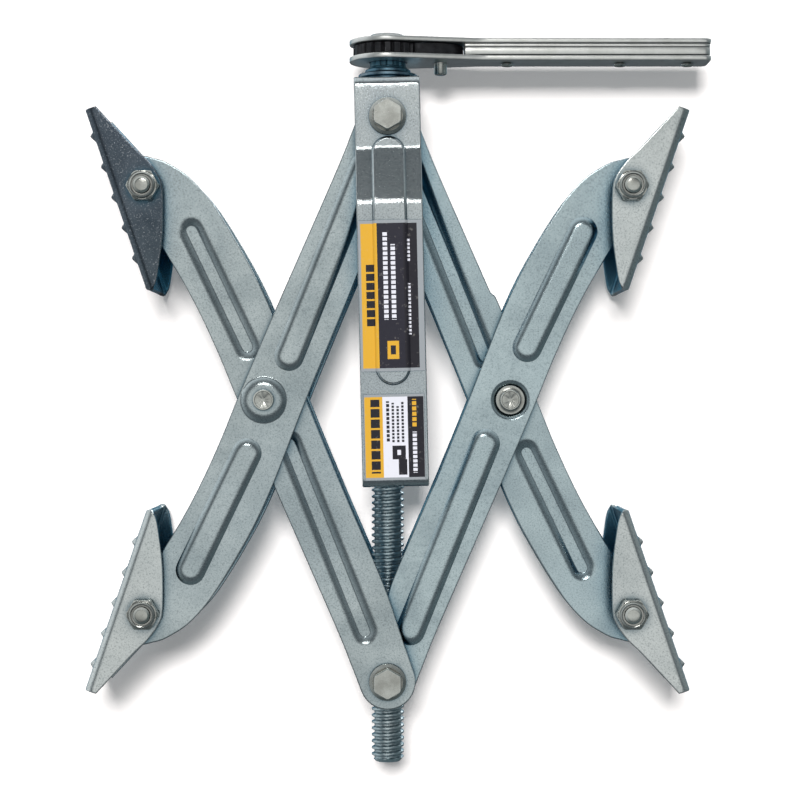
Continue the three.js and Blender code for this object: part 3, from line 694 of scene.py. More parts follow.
class Fold:
    """A strip's side profile: corner points with bend radii, measured along its length."""

    def __init__(self, corners):
        path = [np.array(corners[0][0], float)]
        marks = []
        for k in range(1, len(corners) - 1):
            before, here, after = (np.array(corners[j][0], float) for j in (k - 1, k, k + 1))
            into = (here - before) / np.linalg.norm(here - before)
            out = (after - here) / np.linalg.norm(after - here)
            turn = math.acos(max(-1, min(1, float(into @ out))))
            radius = corners[k][1]
            start = here - into * radius * math.tan(turn / 2)
            side = np.sign(into[0] * out[1] - into[1] * out[0])
            hub = start + side * radius * np.array([-into[1], into[0]])
            first = math.atan2(start[1] - hub[1], start[0] - hub[0])
            count = max(5, int(math.degrees(turn) / 7))
            marks.append((len(path), len(path) + count))
            for i in range(count + 1):
                a = first + side * turn * i / count
                path.append(hub + radius * np.array([math.cos(a), math.sin(a)]))
        path.append(np.array(corners[-1][0], float))
        self.path = np.array(path)
        steps = np.linalg.norm(np.diff(self.path, axis=0), axis=1)
        self.along = np.concatenate([[0], np.cumsum(steps)])
        self.bends = [(self.along[a], self.along[b]) for a, b in marks]
        tangent = np.gradient(self.path, self.along, axis=0)
        tangent /= np.linalg.norm(tangent, axis=1)[:, None]
        self.normal = np.stack([tangent[:, 1], -tangent[:, 0]], 1)

    def at(self, s, h):
        p = [np.interp(s, self.along, self.path[:, i]) for i in (0, 1)]
        n = [np.interp(s, self.along, self.normal[:, i]) for i in (0, 1)]
        size = math.hypot(*n)
        return p[0] + n[0] / size * h, p[1] + n[1] / size * h

    def find(self, column, value, last=True):
        """Length along the strip where a coordinate reaches a value, from its far end or its start."""
        line = self.path[:, column] - value
        hits = [
            self.along[i] + (self.along[i + 1] - self.along[i]) * line[i] / (line[i] - line[i + 1])
            for i in range(len(line) - 1) if line[i] * line[i + 1] < 0
        ]
        return hits[-1] if last else hits[0]

    @property
    def length(self):
        return self.along[-1]


def strap_fold():
    low, high = span("bracket")
    rear = high[1] - STRAP_T / 2
    top = middle("thrust_washer_1")[2] - WASHER_HALF_T - STRAP_T / 2
    foot = low[2] + 1.9
    lip = -(rear + JOG) + 7.0
    return Fold([
        ((rear, REAR_LEG_Z), 0), ((rear, top), 3.0), ((-rear, top), 3.0), ((-rear, JOG_TOP_Z), 7.0),
        ((-(rear + JOG), JOG_BOTTOM_Z), 7.0), ((-(rear + JOG), foot), 1.7), ((lip, foot), 0),
    ])


FOLD = strap_fold()


def bead_ends():
    return (
        (0, FOLD.find(1, BEAD_TOP_Z) + BEAD_BASE_R),
        (0, FOLD.find(1, BEAD_BOTTOM_Z) - BEAD_BASE_R),
    )


def bead(p, shape):
    return BEAD_HEIGHT * shape(share(to_segment(p, *bead_ends()), BEAD_BASE_R, BEAD_TOP_R))


def strap_space(u, s, h):
    y, z = FOLD.at(s, h - STRAP_T / 2)
    return lean(u, y, z)


def strap_rows(step=1.1):
    rows = []
    for start, stop in FOLD.bends:
        s = start - 0.5
        while s < stop + 0.8:
            rows += [(u * 1.9 - STRAP_HALF_W + 1.2, s) for u in range(17)]
            s += step
    return rows


def build_bracket():
    w, length = STRAP_HALF_W, FOLD.length
    corner = 1.2
    outline = []
    for x, y, start in ((w, 0, -0.5), (w, length, 0), (-w, length, 0.5), (-w, 0, 1)):
        cx = x - math.copysign(corner, x)
        cy = corner if y == 0 else length - corner
        outline += arc(cx, cy, corner, start * math.pi, math.pi / 2, 4)
    outline = resample(outline, 1.3)
    bolt_holes = [FOLD.find(1, PIVOT_Z), FOLD.find(1, PIVOT_Z, False)]
    holes = [circle(0, s, BOLT_HOLE_R, 24) for s in bolt_holes]
    holes.append(circle(0, FOLD.find(0, 0.0), SCREW_HOLE_R, 36))
    steps = (-0.12, 0.0, 0.15, 0.32, 0.5, 0.7, 0.86, 1.0, 1.15)
    features = [capsule(*bead_ends(), BEAD_BASE_R - t * (BEAD_BASE_R - BEAD_TOP_R)) for t in steps]
    verts, faces = sheet(
        outline, holes, features,
        lambda p: STRAP_T + bead(p, crowned), lambda p: bead(p, dished), strap_space,
        spacing=2.6, extra=strap_rows(),
    )
    make_piece("bracket_strap", verts, faces, "bracket", "zinc_plate", ZINC_STRAP, 50)


# ---- labels --------------------------------------------------------------------------------
UPPER_LABEL = (-15.3, 15.3, 85.5, 13.8)
LOWER_LABEL = (-14.4, 14.3, 2.8, -38.0)
LABEL_T = 0.3
LABEL_LIFT = 0.1


def build_label(node, size, material):
    left, right, top, bottom = size
    start, stop = FOLD.find(1, top), FOLD.find(1, bottom)
    columns = [left + (right - left) * i / 54 for i in range(55)]
    rows = [start + (stop - start) * i / 60 for i in range(61)]
    verts, uvs, faces = [], [], []
    for level in (LABEL_LIFT, LABEL_LIFT + LABEL_T):
        for s in rows:
            for u in columns:
                verts.append(strap_space(u, s, STRAP_T + bead((u, s), crowned) + level))
                uvs.append(((u - left) / (right - left), (stop - s) / (stop - start)))
    wide, tall = len(columns), len(rows)
    under = wide * tall
    for r in range(tall - 1):
        for c in range(wide - 1):
            a = r * wide + c
            faces.append((under + a, under + a + 1, under + a + wide + 1, under + a + wide))
            faces.append((a + wide, a + wide + 1, a + 1, a))
    rim = list(range(wide)) + [r * wide + wide - 1 for r in range(1, tall)]
    rim += [(tall - 1) * wide + c for c in range(wide - 2, -1, -1)]
    rim += [r * wide for r in range(tall - 2, 0, -1)]
    for a, b in zip(rim, rim[1:] + rim[:1]):
        faces.append((a, b, under + b, under + a))
    make_piece(f"{node}_film", verts, faces, node, "label", material, 40, uvs)


def label_material(name, bands, marks, margin):
    """Printed film: colour bands across its width (u), then plain bars in rows of blocks.

    A band is (from, to, colour). A mark is (u range, v range, block pitch, share filled, colour).
    """
    n = Nodes(name)
    place = n.add("ShaderNodeUVMap", uv_map="print").outputs[0]
    axes = n.add("ShaderNodeSeparateXYZ")
    n.put(axes.inputs[0], place)
    u, v = axes.outputs[0], axes.outputs[1]

    def between(value, low, high):
        return n.math("MULTIPLY", n.math("GREATER_THAN", value, low), n.math("LESS_THAN", value, high))

    color = FILM
    body = between(v, *margin)
    for low, high, tone in bands:
        color = n.mix(n.math("MULTIPLY", between(u, low, high), body), color, tone)
    for (low, high), (bottom, top), pitch, fill, tone in marks:
        bar = n.math("MULTIPLY", between(u, low, high), between(v, bottom, top))
        if pitch:
            wave = n.math("FRACT", n.math("DIVIDE", v, pitch), 0.0)
            bar = n.math("MULTIPLY", bar, n.math("LESS_THAN", wave, fill))
        color = n.mix(bar, color, tone)
    wear = n.noise(500, 3)
    color = n.mix(n.fit(wear, 0.62, 0.82, 0, 0.35), color, (0.45, 0.43, 0.40, 1))
    relief = n.bump(n.noise(160, 2), 0.08, 0.0003)
    material = n.finish(color, n.fit(wear, 0.3, 0.7, 0.38, 0.55), relief, 0.0)
    n.shader.inputs["Specular IOR Level"].default_value = 0.45
    return material


YELLOW = (0.62, 0.34, 0.03, 1)
NAVY = (0.018, 0.017, 0.026, 1)
INK = (0.014, 0.013, 0.018, 1)
WHITE = (0.66, 0.66, 0.72, 1)
FILM = (0.27, 0.29, 0.31, 1)


def build_labels():
    upper = label_material(
        "upper_print",
        [(0.036, 0.291, YELLOW), (0.291, 0.696, NAVY), (0.696, 0.915, INK)],
        [
            ((0.11, 0.24), (0.30, 0.72), 0.060, 0.80, INK),
            ((0.38, 0.45), (0.34, 0.92), 0.032, 0.72, WHITE),
            ((0.50, 0.57), (0.34, 0.84), 0.032, 0.72, WHITE),
            ((0.42, 0.60), (0.08, 0.20), 0, 1, YELLOW),
            ((0.47, 0.55), (0.11, 0.17), 0, 1, NAVY),
            ((0.76, 0.80), (0.24, 0.58), 0.026, 0.62, WHITE),
            ((0.76, 0.80), (0.72, 0.88), 0.026, 0.62, WHITE),
        ],
        margin=(0.02, 0.98),
    )
    lower = label_material(
        "lower_print",
        [(0.01, 0.31, YELLOW), (0.31, 0.725, WHITE), (0.725, 0.99, INK)],
        [
            ((0.11, 0.26), (0.08, 0.94), 0.122, 0.82, INK),
            ((0.37, 0.42), (0.44, 0.92), 0.050, 0.74, INK),
            ((0.46, 0.50), (0.44, 0.90), 0.040, 0.70, INK),
            ((0.54, 0.58), (0.44, 0.86), 0.040, 0.70, INK),
            ((0.62, 0.66), (0.44, 0.92), 0.040, 0.70, INK),
            ((0.46, 0.68), (0.24, 0.40), 0, 1, INK),
            ((0.54, 0.60), (0.29, 0.35), 0, 1, WHITE),
            ((0.56, 0.70), (0.06, 0.24), 0, 1, INK),
            ((0.80, 0.87), (0.08, 0.56), 0.050, 0.72, WHITE),
            ((0.80, 0.87), (0.62, 0.94), 0.062, 0.74, YELLOW),
        ],
        margin=(0.03, 0.97),
    )
    build_label("upper_label", UPPER_LABEL, upper)
    build_label("lower_label", LOWER_LABEL, lower)


# ---- tyre pads ---------------------------------------------------------------------------------
PAD_T = 2.5
PAD_BEND = 3.25
PAD_MID = max(abs(c) for c in (span("pad_ul")[0][1], span("pad_ul")[1][1])) - PAD_T / 2
TREAD_TIP = np.array([-28.5, 37.0])
TREAD_TAIL = np.array([0.9, -49.4])
PAD_LEG = [
    (-22.8, 38.4), (-5.7, 20.0), (1.9, 12.6), (7.1, 5.2), (9.0, -1.9),
    (9.0, -21.9), (7.2, -38.5), (5.7, -46.4), (3.6, -49.8),
]
TEETH_ROWS = (0.12, 0.29, 0.46, 0.63, 0.80)
TOOTH_COLUMNS = (-20, 0, 20)
TOOTH_LENGTH, TOOTH_WIDTH, TOOTH_HEIGHT = 5.2, 10.0, 2.0
TREAD_LENGTH = float(np.linalg.norm(TREAD_TAIL - TREAD_TIP))
TREAD_ALONG = (TREAD_TAIL - TREAD_TIP) / TREAD_LENGTH
TREAD_IN = np.array([-TREAD_ALONG[1], TREAD_ALONG[0]])
PADS = [("pad_ul", -1, 1), ("pad_ll", -1, -1), ("pad_ur", 1, 1), ("pad_lr", 1, -1)]
FLAT_HALF = PAD_MID - PAD_BEND
BEND_LENGTH = PAD_BEND * math.pi / 2


def pad_section(w, h):
    """Depth and distance inwards of a point on the folded channel: w across the sheet, h outwards."""
    side = math.copysign(1, w)
    reach = abs(w)
    if reach <= FLAT_HALF:
        return w, PAD_T / 2 - h
    turn = min((reach - FLAT_HALF) / PAD_BEND, math.pi / 2)
    hub_in = PAD_T / 2 + PAD_BEND
    r = PAD_BEND + h
    y = FLAT_HALF + r * math.sin(turn)
    inward = hub_in - r * math.cos(turn)
    return side * y, inward + max(0.0, reach - FLAT_HALF - BEND_LENGTH)


def leg_to_sheet(p):
    rel = np.array(p) - TREAD_TIP
    s, n = float(rel @ TREAD_ALONG), float(rel @ TREAD_IN)
    lift = n - PAD_T / 2
    if lift >= PAD_BEND:
        return s, FLAT_HALF + BEND_LENGTH + lift - PAD_BEND
    return s, FLAT_HALF + PAD_BEND * math.acos(1 - max(0, lift) / PAD_BEND)


def tooth(p, shape):
    s, w = p
    for row in TEETH_ROWS:
        t = s - row * TREAD_LENGTH
        if -0.2 < t < TOOTH_LENGTH + 0.2:
            for column in TOOTH_COLUMNS:
                across = abs(w - column)
                if across < TOOTH_WIDTH / 2:
                    rise = min(1, max(0, t) / 1.3) if t < 1.3 else 1
                    fall = 1 - max(0, t - 1.9) / (TOOTH_LENGTH - 1.9)
                    side = min(1, (TOOTH_WIDTH / 2 - across) / 1.4)
                    return TOOTH_HEIGHT * shape * rise * max(0, fall) ** 0.8 * math.sin(side * math.pi / 2)
    return 0.0


def pad_outline():
    curve = spline([PAD_LEG[0], *PAD_LEG, PAD_LEG[-1]], 1.8)
    leg = [leg_to_sheet(p) for p in curve]
    loop = [(0.0, -FLAT_HALF)] + [(s, -w) for s, w in leg] + [(TREAD_LENGTH, -FLAT_HALF)]
    loop += [(TREAD_LENGTH, FLAT_HALF)] + [(s, w) for s, w in reversed(leg)] + [(0.0, FLAT_HALF)]
    return resample(loop, 1.5)


def tooth_points():
    points = []
    for row in TEETH_ROWS:
        for column in TOOTH_COLUMNS:
            for i in range(13):
                for j in range(15):
                    points.append((row * TREAD_LENGTH - 0.2 + i * 0.62, column - 5.6 + j * 0.8))
    return points


def bend_points():
    points = []
    for side in (-1, 1):
        for i in range(9):
            w = side * (FLAT_HALF + BEND_LENGTH * i / 8)
            points += [(1.0 + j * 1.6, w) for j in range(int(TREAD_LENGTH / 1.6))]
    return points


def build_pad(node, side, up, material):
    cx, cz = side * PAD_X, up * PAD_Z

    def to_space(s, w, h):
        y, n = pad_section(w, h - PAD_T / 2)
        x, z = TREAD_TIP + TREAD_ALONG * s + TREAD_IN * n
        return (cx - side * x, y, cz + up * z)

    hole_at = leg_to_sheet((0.0, 0.0))
    holes = [circle(hole_at[0], way * hole_at[1], BOLT_HOLE_R, 24) for way in (-1, 1)]
    verts, faces = sheet(
        pad_outline(), holes, [],
        lambda p: PAD_T + tooth(p, 1.0), lambda p: tooth(p, 0.8), to_space,
        rim=0.4, spacing=3.0, extra=tooth_points() + bend_points(),
    )
    make_piece(f"{node}_channel", verts, faces, node, "zinc_plate", material, 42)


# ---- fasteners -----------------------------------------------------------------------------------
def hexagonal(across, most=1e9, turn=0.0):
    """Radius of a hexagon at an angle, no more than a limit."""
    def radius(a):
        folded = ((a + turn) % (math.pi / 3)) - math.pi / 6
        return min(across / 2 / math.cos(folded), most)
    return radius


def hex_profile(across, low, high):
    corner = across / math.sqrt(3)
    turn = math.pi / 6
    steps = [(hexagonal(across, corner - 0.15, turn), low)]
    for share_up, cut in ((0.0, 0.0), (0.5, 0.12), (1.0, 0.42)):
        radius = hexagonal(across - 1.2 * cut, corner - 0.15 - cut, turn)
        steps.append((radius, high - (1 - share_up) * 0.5))
    face = across / 2 - 0.9
    steps += [(face, high), (AXIS_R, high)]
    return steps


def build_flange_bolt(node, sign):
    x, _, z = middle(node)
    low, high = span(node)
    reach = sorted(abs(c) for c in (low[1], high[1]))
    top = reach[1]
    seat = top - FLANGE_HEAD_HEIGHT
    flange = (high[0] - low[0]) / 2
    profile = [(AXIS_R, seat), (flange - 0.5, seat), (flange - 0.1, seat + 0.35), (flange, seat + 0.7)]
    profile += [(flange - 0.12, seat + 1.1), (flange - 0.7, seat + 1.45), (7.4, seat + 1.95)]
    head = hex_profile(HEAD_ACROSS, seat + 1.9, top)
    body = turned(profile + head, along_y(x, z, sign), 96)
    start = reach[0]
    shank_profile = [(AXIS_R, start), (BOLT_R - 0.4, start), (BOLT_R, start + 0.5), (BOLT_R, seat)]
    shank = turned(shank_profile, along_y(x, z, sign), 32)
    make_piece(f"{node}_head", *joined(body, shank), node, "fastener", FASTENER, 24)


def build_pad_bolt(node):
    x, _, z = middle(node)
    low, high = span(node)
    start, stop = low[1], high[1]
    seat = stop - HEAD_HEIGHT
    tip = [(AXIS_R, start), (2.5, start), (3.05, start + 0.15), (BOLT_R, start + 1.05)]
    y = start + 1.3
    while y < start + BOLT_THREAD_LENGTH:
        tip += [(BOLT_R, y), (BOLT_R - 0.55, y + BOLT_PITCH * 0.5)]
        y += BOLT_PITCH
    tip += [(BOLT_R, y), (BOLT_R, seat), (BOLT_R, seat + 0.01), (AXIS_R, seat + 0.02)]
    body = turned(tip, along_y(x, z), 40)
    head = turned([(AXIS_R, seat)] + hex_profile(HEAD_ACROSS, seat, stop), along_y(x, z), 96)
    make_piece(f"{node}_detail", *joined(body, head), node, "fastener", FASTENER, 28)


def build_lock_nut(node):
    x, _, z = middle(node)
    low, high = span(node)
    seat, crown = -high[1], -low[1]
    shoulder = crown - 1.9
    across = NUT_ACROSS
    corner = across / math.sqrt(3)
    bore = 4.25
    profile = [(bore, seat), (across / 2 - 0.5, seat), (hexagonal(across, corner - 0.9), seat + 0.3)]
    profile.append((hexagonal(across, corner - 0.15), seat + 0.9))
    profile.append((hexagonal(across, corner - 0.15), shoulder - 0.9))
    profile += [(hexagonal(across, corner - 0.6), shoulder - 0.35), (across / 2 - 0.05, shoulder)]
    profile += [(6.35, shoulder + 0.12), (6.3, crown - 0.9), (6.05, crown - 0.3), (5.6, crown)]
    profile += [(5.15, crown - 0.15), (5.0, crown - 0.7), (bore, crown - 0.75)]
    shape = bored(profile, along_y(x, z, -1), 96)
    make_piece(f"{node}_lock", *shape, node, "fastener", FASTENER, 28)


def struck(radius):
    """The slightly faceted cone a punch leaves."""
    return lambda a: radius * (1 + 0.10 * math.cos(7 * a + 0.6))


def build_rivet(node, sign):
    x, _, z = middle(node)
    low, high = span(node)
    inner, outer = sorted(abs(c) for c in (low[1], high[1]))
    wide = (high[0] - low[0]) / 2
    right = x > 0
    head = 5.1
    head_t = 2.6 if right else 1.8
    seat = outer - head_t
    profile = [(AXIS_R, inner), (5.2, inner), (5.85, inner + 0.4), (5.9, inner + 1.2), (4.05, inner + 1.6)]
    profile += [(4.05, seat)]
    if right:
        profile += [(wide - 0.3, seat + 0.01), (wide, seat + 0.3), (wide, seat + 0.9)]
        profile += [(wide - 0.25, seat + 1.1), (head + 0.25, seat + 1.15)]
    else:
        profile += [(head - 0.1, seat + 0.02)]
    profile += [(head, seat + head_t * 0.5), (head - 0.12, outer - 0.3), (head - 0.45, outer)]
    profile += [(4.3, outer - 0.02), (4.0, outer - 0.35), (struck(3.4), outer - 0.42)]
    profile += [(struck(1.4), outer - 0.85), (AXIS_R, outer - 1.1)]
    verts, faces = turned(profile, along_y(x, z, sign), 48)
    make_piece(f"{node}_upset", verts, faces, node, "fastener", FASTENER, 30)


def build_ring(node, material, bore, axis="y"):
    low, high = span(node)
    if axis == "y":
        x, _, z = middle(node)
        place, start, stop = along_y(x, z), low[1], high[1]
    else:
        place, start, stop = along_z(), low[2], high[2]
    shape = tube((high[0] - low[0]) / 2, bore, start, stop, place)
    make_piece(f"{node}_turned", *shape, node, "zinc_plate", material, 34)


def build_fasteners():
    for word, sign in SIDES:
        build_flange_bolt(f"top_bolt_{word}", sign)
        build_flange_bolt(f"nut_bolt_{word}", sign)
        build_rivet(f"left_rivet_{word}", sign)
        build_rivet(f"right_rivet_{word}", sign)
        build_ring(f"top_spacer_{word}", ZINC_LIGHT, SPACER_BORE)
        build_ring(f"nut_spacer_{word}", ZINC_LIGHT, SPACER_BORE)
    for pad, _, _ in PADS:
        build_pad_bolt(f"{pad}_bolt")
        build_lock_nut(f"{pad}_nut")
        build_ring(f"{pad}_tube", ZINC_PAD, BOLT_HOLE_R)
        if pad != "pad_ll":
            for word, _ in SIDES:
                build_ring(f"{pad}_collar_{word}", ZINC_PAD, BOLT_HOLE_R)


# ---- screw and the two blocks -----------------------------------------------------------------------
PITCH = 3.175
THREAD_DEPTH = 1.35
THREAD_TOP = 121.0
NECK_Z, NECK_R = 150.0, 7.0
DRIVE_Z, DRIVE_ACROSS = 162.0, 11.0
BLOCK_BORE, BLOCK_HALF_Y, BLOCK_CORNER_R = 8.25, 10.0, 15.2
TOP_BLOCK_HALF_X, TOP_BLOCK_HALF_Z = 12.5, 10.0
NUT_DRUM_R, NUT_HALF_Z = 12.8, 8.4
NUT_SHOULDER = 12.8
PIN_START, PIN_R = 9.6, 6.9


def thread_depth(turns):
    """How far below the crest a trapezoid thread is, turns being measured along the axis."""
    t = turns % 1.0
    edge = abs(t - 0.5) * 2
    return THREAD_DEPTH * max(0.0, min(1.0, (edge - 0.30) / 0.38))


def build_screw():
    low, high = span("screw")
    radius = (high[0] - low[0]) / 2
    count = 44
    rings = []
    z = low[2]
    while z < THREAD_TOP:
        ring = []
        for i in range(count):
            a = 2 * math.pi * i / count
            depth = thread_depth(z / PITCH - i / count)
            limit = radius - max(0.0, 2.2 - (z - low[2])) * 0.9
            fade = min(1.0, max(0.0, (THREAD_TOP - z) / 2.0))
            r = min(radius - depth * fade, limit)
            ring.append((r * math.cos(a), r * math.sin(a), z))
        rings.append(ring)
        z += PITCH / 11
    steps = [(radius, THREAD_TOP), (radius, NECK_Z - 0.6), (radius - 0.6, NECK_Z)]
    steps += [(NECK_R, NECK_Z), (NECK_R, DRIVE_Z - 0.1)]
    steps += [(hexagonal(DRIVE_ACROSS, 6.3), DRIVE_Z), (hexagonal(DRIVE_ACROSS, 6.3), high[2])]
    rings += profile_rings(steps, along_z(), count)
    make_piece("screw_threaded", *rings_to_mesh(rings), "screw", "zinc_plate", ZINC_SCREW, 30)


def squared(half_x, cut=0.0):
    """Radius of a block's outline at an angle, less a chamfer."""
    def radius(a):
        side = half_x / max(abs(math.cos(a)), 1e-6)
        face = BLOCK_HALF_Y / max(abs(math.sin(a)), 1e-6)
        return min(side, face, BLOCK_CORNER_R) - cut
    return radius


def block_mesh(node, pin_end, shoulder):
    """A trunnion bored for the screw, with two turned pins.

    It is a square block, or a drum across the arms where its pins have shoulders.
    """
    low, high = span(node)
    z = (low[2] + high[2]) / 2
    if shoulder:
        flat = NUT_HALF_Z
        heights = [flat * (i / 8 - 1) for i in range(17)]
        sides = [(squared(math.sqrt(NUT_DRUM_R ** 2 - h * h)), h) for h in heights]
    else:
        flat, half_x = TOP_BLOCK_HALF_Z, TOP_BLOCK_HALF_X
        sides = [(squared(half_x, 0.8), -flat), (squared(half_x), 0.8 - flat)]
        sides += [(squared(half_x), flat - 0.8), (squared(half_x, 0.8), flat)]
    profile = [(BLOCK_BORE, 0.7 - flat), (BLOCK_BORE + 0.6, -flat), *sides]
    profile += [(BLOCK_BORE + 0.6, flat), (BLOCK_BORE, flat - 0.7)]
    shapes = [bored(profile, lambda a, b, h: (a, b, z + h), 64, 0.5)]
    pin = [(AXIS_R, PIN_START), (PIN_R, PIN_START)]
    if shoulder:
        pin = [(AXIS_R, PIN_START), (9.4, PIN_START), (9.8, PIN_START + 0.3)]
        pin += [(9.8, shoulder - 0.4), (9.4, shoulder), (PIN_R, shoulder)]
    pin += [(PIN_R, pin_end - 0.5), (PIN_R - 0.5, pin_end), (BOLT_HOLE_R, pin_end)]
    pin += [(BOLT_HOLE_R, 12.4), (AXIS_R, 12.3)]
    for sign in (-1, 1):
        shapes.append(turned(pin, along_y(0, z, sign), 48))
    return joined(*shapes)


def build_blocks():
    for node, shoulder in (("top_block", 0), ("nut_block", NUT_SHOULDER)):
        shape = block_mesh(node, span(node)[1][1], shoulder)
        make_piece(f"{node}_trunnion", *shape, node, "fastener", FASTENER, 30)


# ---- ratchet handle -------------------------------------------------------------------------------------
HEAD_R = 19.0
HEAD_TAPER = 10.8
HANDLE_HALF_W = 10.5
GEAR_TEETH = 22
GEAR_TOOTH = 1.7
PAWL_X = middle("pawl_pin")[0]
PAWL_END_R = 11.2
PAWL_NOSE_R = 17.9
PAWL_PIN_HOLE_R = 3.3
HANDLE_RIVET_HOLE_R = 2.2
HANDLE_CORNER_R = 3.2
LOW_PLATE_HOLE_R, HIGH_PLATE_HOLE_R = 9.4, 6.9
PLATE_RIM = 0.5
BAR_END_OUT, BAR_SIDE_OUT = 0.9, 0.4
LEAF_T, LEAF_GAP = 3.55, 0.2
GEAR_THICK = 5.1
GEAR_BORE = 7.35
HUB_NOTCHES = 16


def handle_outline(end_x):
    """A round head whose sides close in towards a straight handle."""
    taper = math.radians(HEAD_TAPER)
    meet = math.pi / 2 - taper
    loop = arc(0, 0, HEAD_R, meet, 2 * (math.pi - meet), 60)
    taper_end = (HEAD_R / math.cos(taper) - HANDLE_HALF_W) / math.tan(taper)
    loop.append((taper_end, -HANDLE_HALF_W))
    corner = HANDLE_CORNER_R
    for way, start in ((-1, -math.pi / 2), (1, 0)):
        loop += arc(end_x - corner, way * (HANDLE_HALF_W - corner), corner, start, math.pi / 2, 8)
    loop.append((taper_end, HANDLE_HALF_W))
    return resample(loop, 3.0)


def flat_plate(node, outline, holes, material, slot, suffix="plate"):
    low, high = span(node)
    thick = high[2] - low[2]
    verts, faces = sheet(
        outline, holes, [], lambda p: thick, lambda p: 0.0, lambda u, v, h: (u, v, low[2] + h),
        rim=PLATE_RIM, spacing=5.0,
    )
    make_piece(f"{node}_{suffix}", verts, faces, node, slot, material, 34)


def build_handle():
    rivets = [middle(f"handle_rivet_{k}")[0] for k in (1, 2, 3)]
    end_x = span("handle_plate_low")[1][0]
    pin_holes = [circle(PAWL_X, 0, PAWL_PIN_HOLE_R, 20)]
    pin_holes += [circle(x, 0, HANDLE_RIVET_HOLE_R, 16) for x in rivets]
    for word, hole_r in (("low", LOW_PLATE_HOLE_R), ("high", HIGH_PLATE_HOLE_R)):
        holes = [circle(0, 0, hole_r, 40)] + pin_holes
        flat_plate(f"handle_plate_{word}", handle_outline(end_x), holes, NICKEL, "bright_plate")
    build_grip_bar(rivets)
    for k in (1, 2, 3):
        build_handle_rivet(f"handle_rivet_{k}")


def build_grip_bar(rivets):
    """The stack between the plates: a thick leaf with a thin one above, and a groove between them."""
    low, high = span("handle_bar")
    x0, x1, w = low[0], high[0] + BAR_END_OUT, high[1] + BAR_SIDE_OUT
    bottom, top = low[2], high[2]
    leaves = [(bottom, bottom + LEAF_T), (bottom + LEAF_T + LEAF_GAP, top)]
    shapes = []
    for z0, z1 in leaves:
        loop = []
        for cx, cy, start in ((x1, w, 0), (x0, w, 0.5), (x0, -w, 1), (x1, -w, 1.5)):
            corner = HANDLE_CORNER_R if cx == x1 else 0.5
            hub_x = cx - corner if cx == x1 else cx + corner
            loop += arc(hub_x, cy - math.copysign(corner, cy), corner, start * math.pi, math.pi / 2, 6)
        shapes.append(sheet(
            resample(loop, 4.0), [circle(x, 0, HANDLE_RIVET_HOLE_R, 16) for x in rivets], [],
            lambda p: z1 - z0, lambda p: 0.0, lambda u, v, h: (u, v, z0 + h), rim=0.3, spacing=6.0,
        ))
    make_piece("handle_bar_leaves", *joined(*shapes), "handle_bar", "bright_plate", NICKEL, 34)


def build_handle_rivet(node):
    low, high = span(node)
    x = middle(node)[0]
    z0, z1 = low[2], high[2]
    profile = [(AXIS_R, z0 + 0.5), (0.9, z0 + 0.15), (1.6, z0), (2.5, z0 + 0.15)]
    profile += [(3.05, z0 + 0.6), (3.2, z0 + 1.1), (2.0, z0 + 1.3), (2.0, z1 - 1.3)]
    profile += [(3.2, z1 - 0.85), (3.05, z1 - 0.45), (2.2, z1 - 0.08), (AXIS_R, z1)]
    make_piece(f"{node}_head", *turned(profile, along_z(x), 32), node, "fastener", FASTENER, 30)


def build_gear():
    low, high = span("ratchet_gear")
    radius = (high[0] - low[0]) / 2
    count = GEAR_TEETH * 12

    def toothed(a, cut=0.0):
        t = (a / (2 * math.pi) * GEAR_TEETH) % 1.0
        lift = min(1.0, t / 0.22) if t < 0.5 else min(1.0, (1 - t) / 0.22)
        return radius - GEAR_TOOTH * (1 - lift) - cut

    def broken(a):
        return toothed(a, 0.35)

    top = high[2]
    tooth_low = top - GEAR_THICK
    profile = [
        (GEAR_BORE, tooth_low), (broken, tooth_low), (toothed, tooth_low + 0.35),
        (toothed, top - 0.35), (broken, top), (GEAR_BORE, top),
    ]
    wheel = bored(profile, along_z(), count)
    make_piece("ratchet_gear_teeth", *wheel, "ratchet_gear", "black_oxide", OXIDE, 26)
    build_hub(low[2], tooth_low - 0.02)


def build_hub(low, high):
    """The wheel's hub under it: a notched neck on a stepped flange."""
    def notched(a):
        return 8.9 if (a / (2 * math.pi) * HUB_NOTCHES) % 1.0 < 0.72 else 8.45

    profile = [
        (GEAR_BORE, low), (10.7, low), (11.2, low + 0.4), (11.2, low + 1.5), (10.9, low + 1.9),
        (9.6, low + 2.1), (9.4, low + 3.1), (9.0, low + 3.3), (notched, low + 3.4),
        (notched, low + 5.4), (9.0, low + 5.5), (9.0, high), (GEAR_BORE, high),
    ]
    shape = bored(profile, along_z(), 96)
    make_piece("ratchet_gear_hub", *shape, "ratchet_gear", "zinc_plate", ZINC_HUB, 26)


def build_pawl():
    rounded = arc(PAWL_X, 0, PAWL_END_R, math.radians(-56), math.radians(96), 16)
    nose = arc(0, 0, PAWL_NOSE_R, 0.0, math.radians(-44), 12)
    loop = [(17.9, 1.6), *nose, (13.4, -13.3), (14.6, -13.8), (20.0, -13.2), (27.0, -11.8)]
    loop += [*rounded, (26.0, 6.8), (20.0, 5.4)]
    pin_hole = circle(PAWL_X, 0, PAWL_PIN_HOLE_R, 24)
    flat_plate("pawl", resample(loop, 1.5), [pin_hole], OXIDE, "black_oxide", "cam")
    low, high = span("pawl_pin")
    z0, z1 = low[2], high[2]
    profile = [(AXIS_R, z0), (2.2, z0), (2.8, z0 + 0.25), (3.1, z0 + 0.8)]
    profile += [(3.1, z1 - 0.4), (2.7, z1), (AXIS_R, z1)]
    pin = turned(profile, along_z(PAWL_X), 32)
    make_piece("pawl_pin_turned", *pin, "pawl_pin", "fastener", FASTENER, 30)


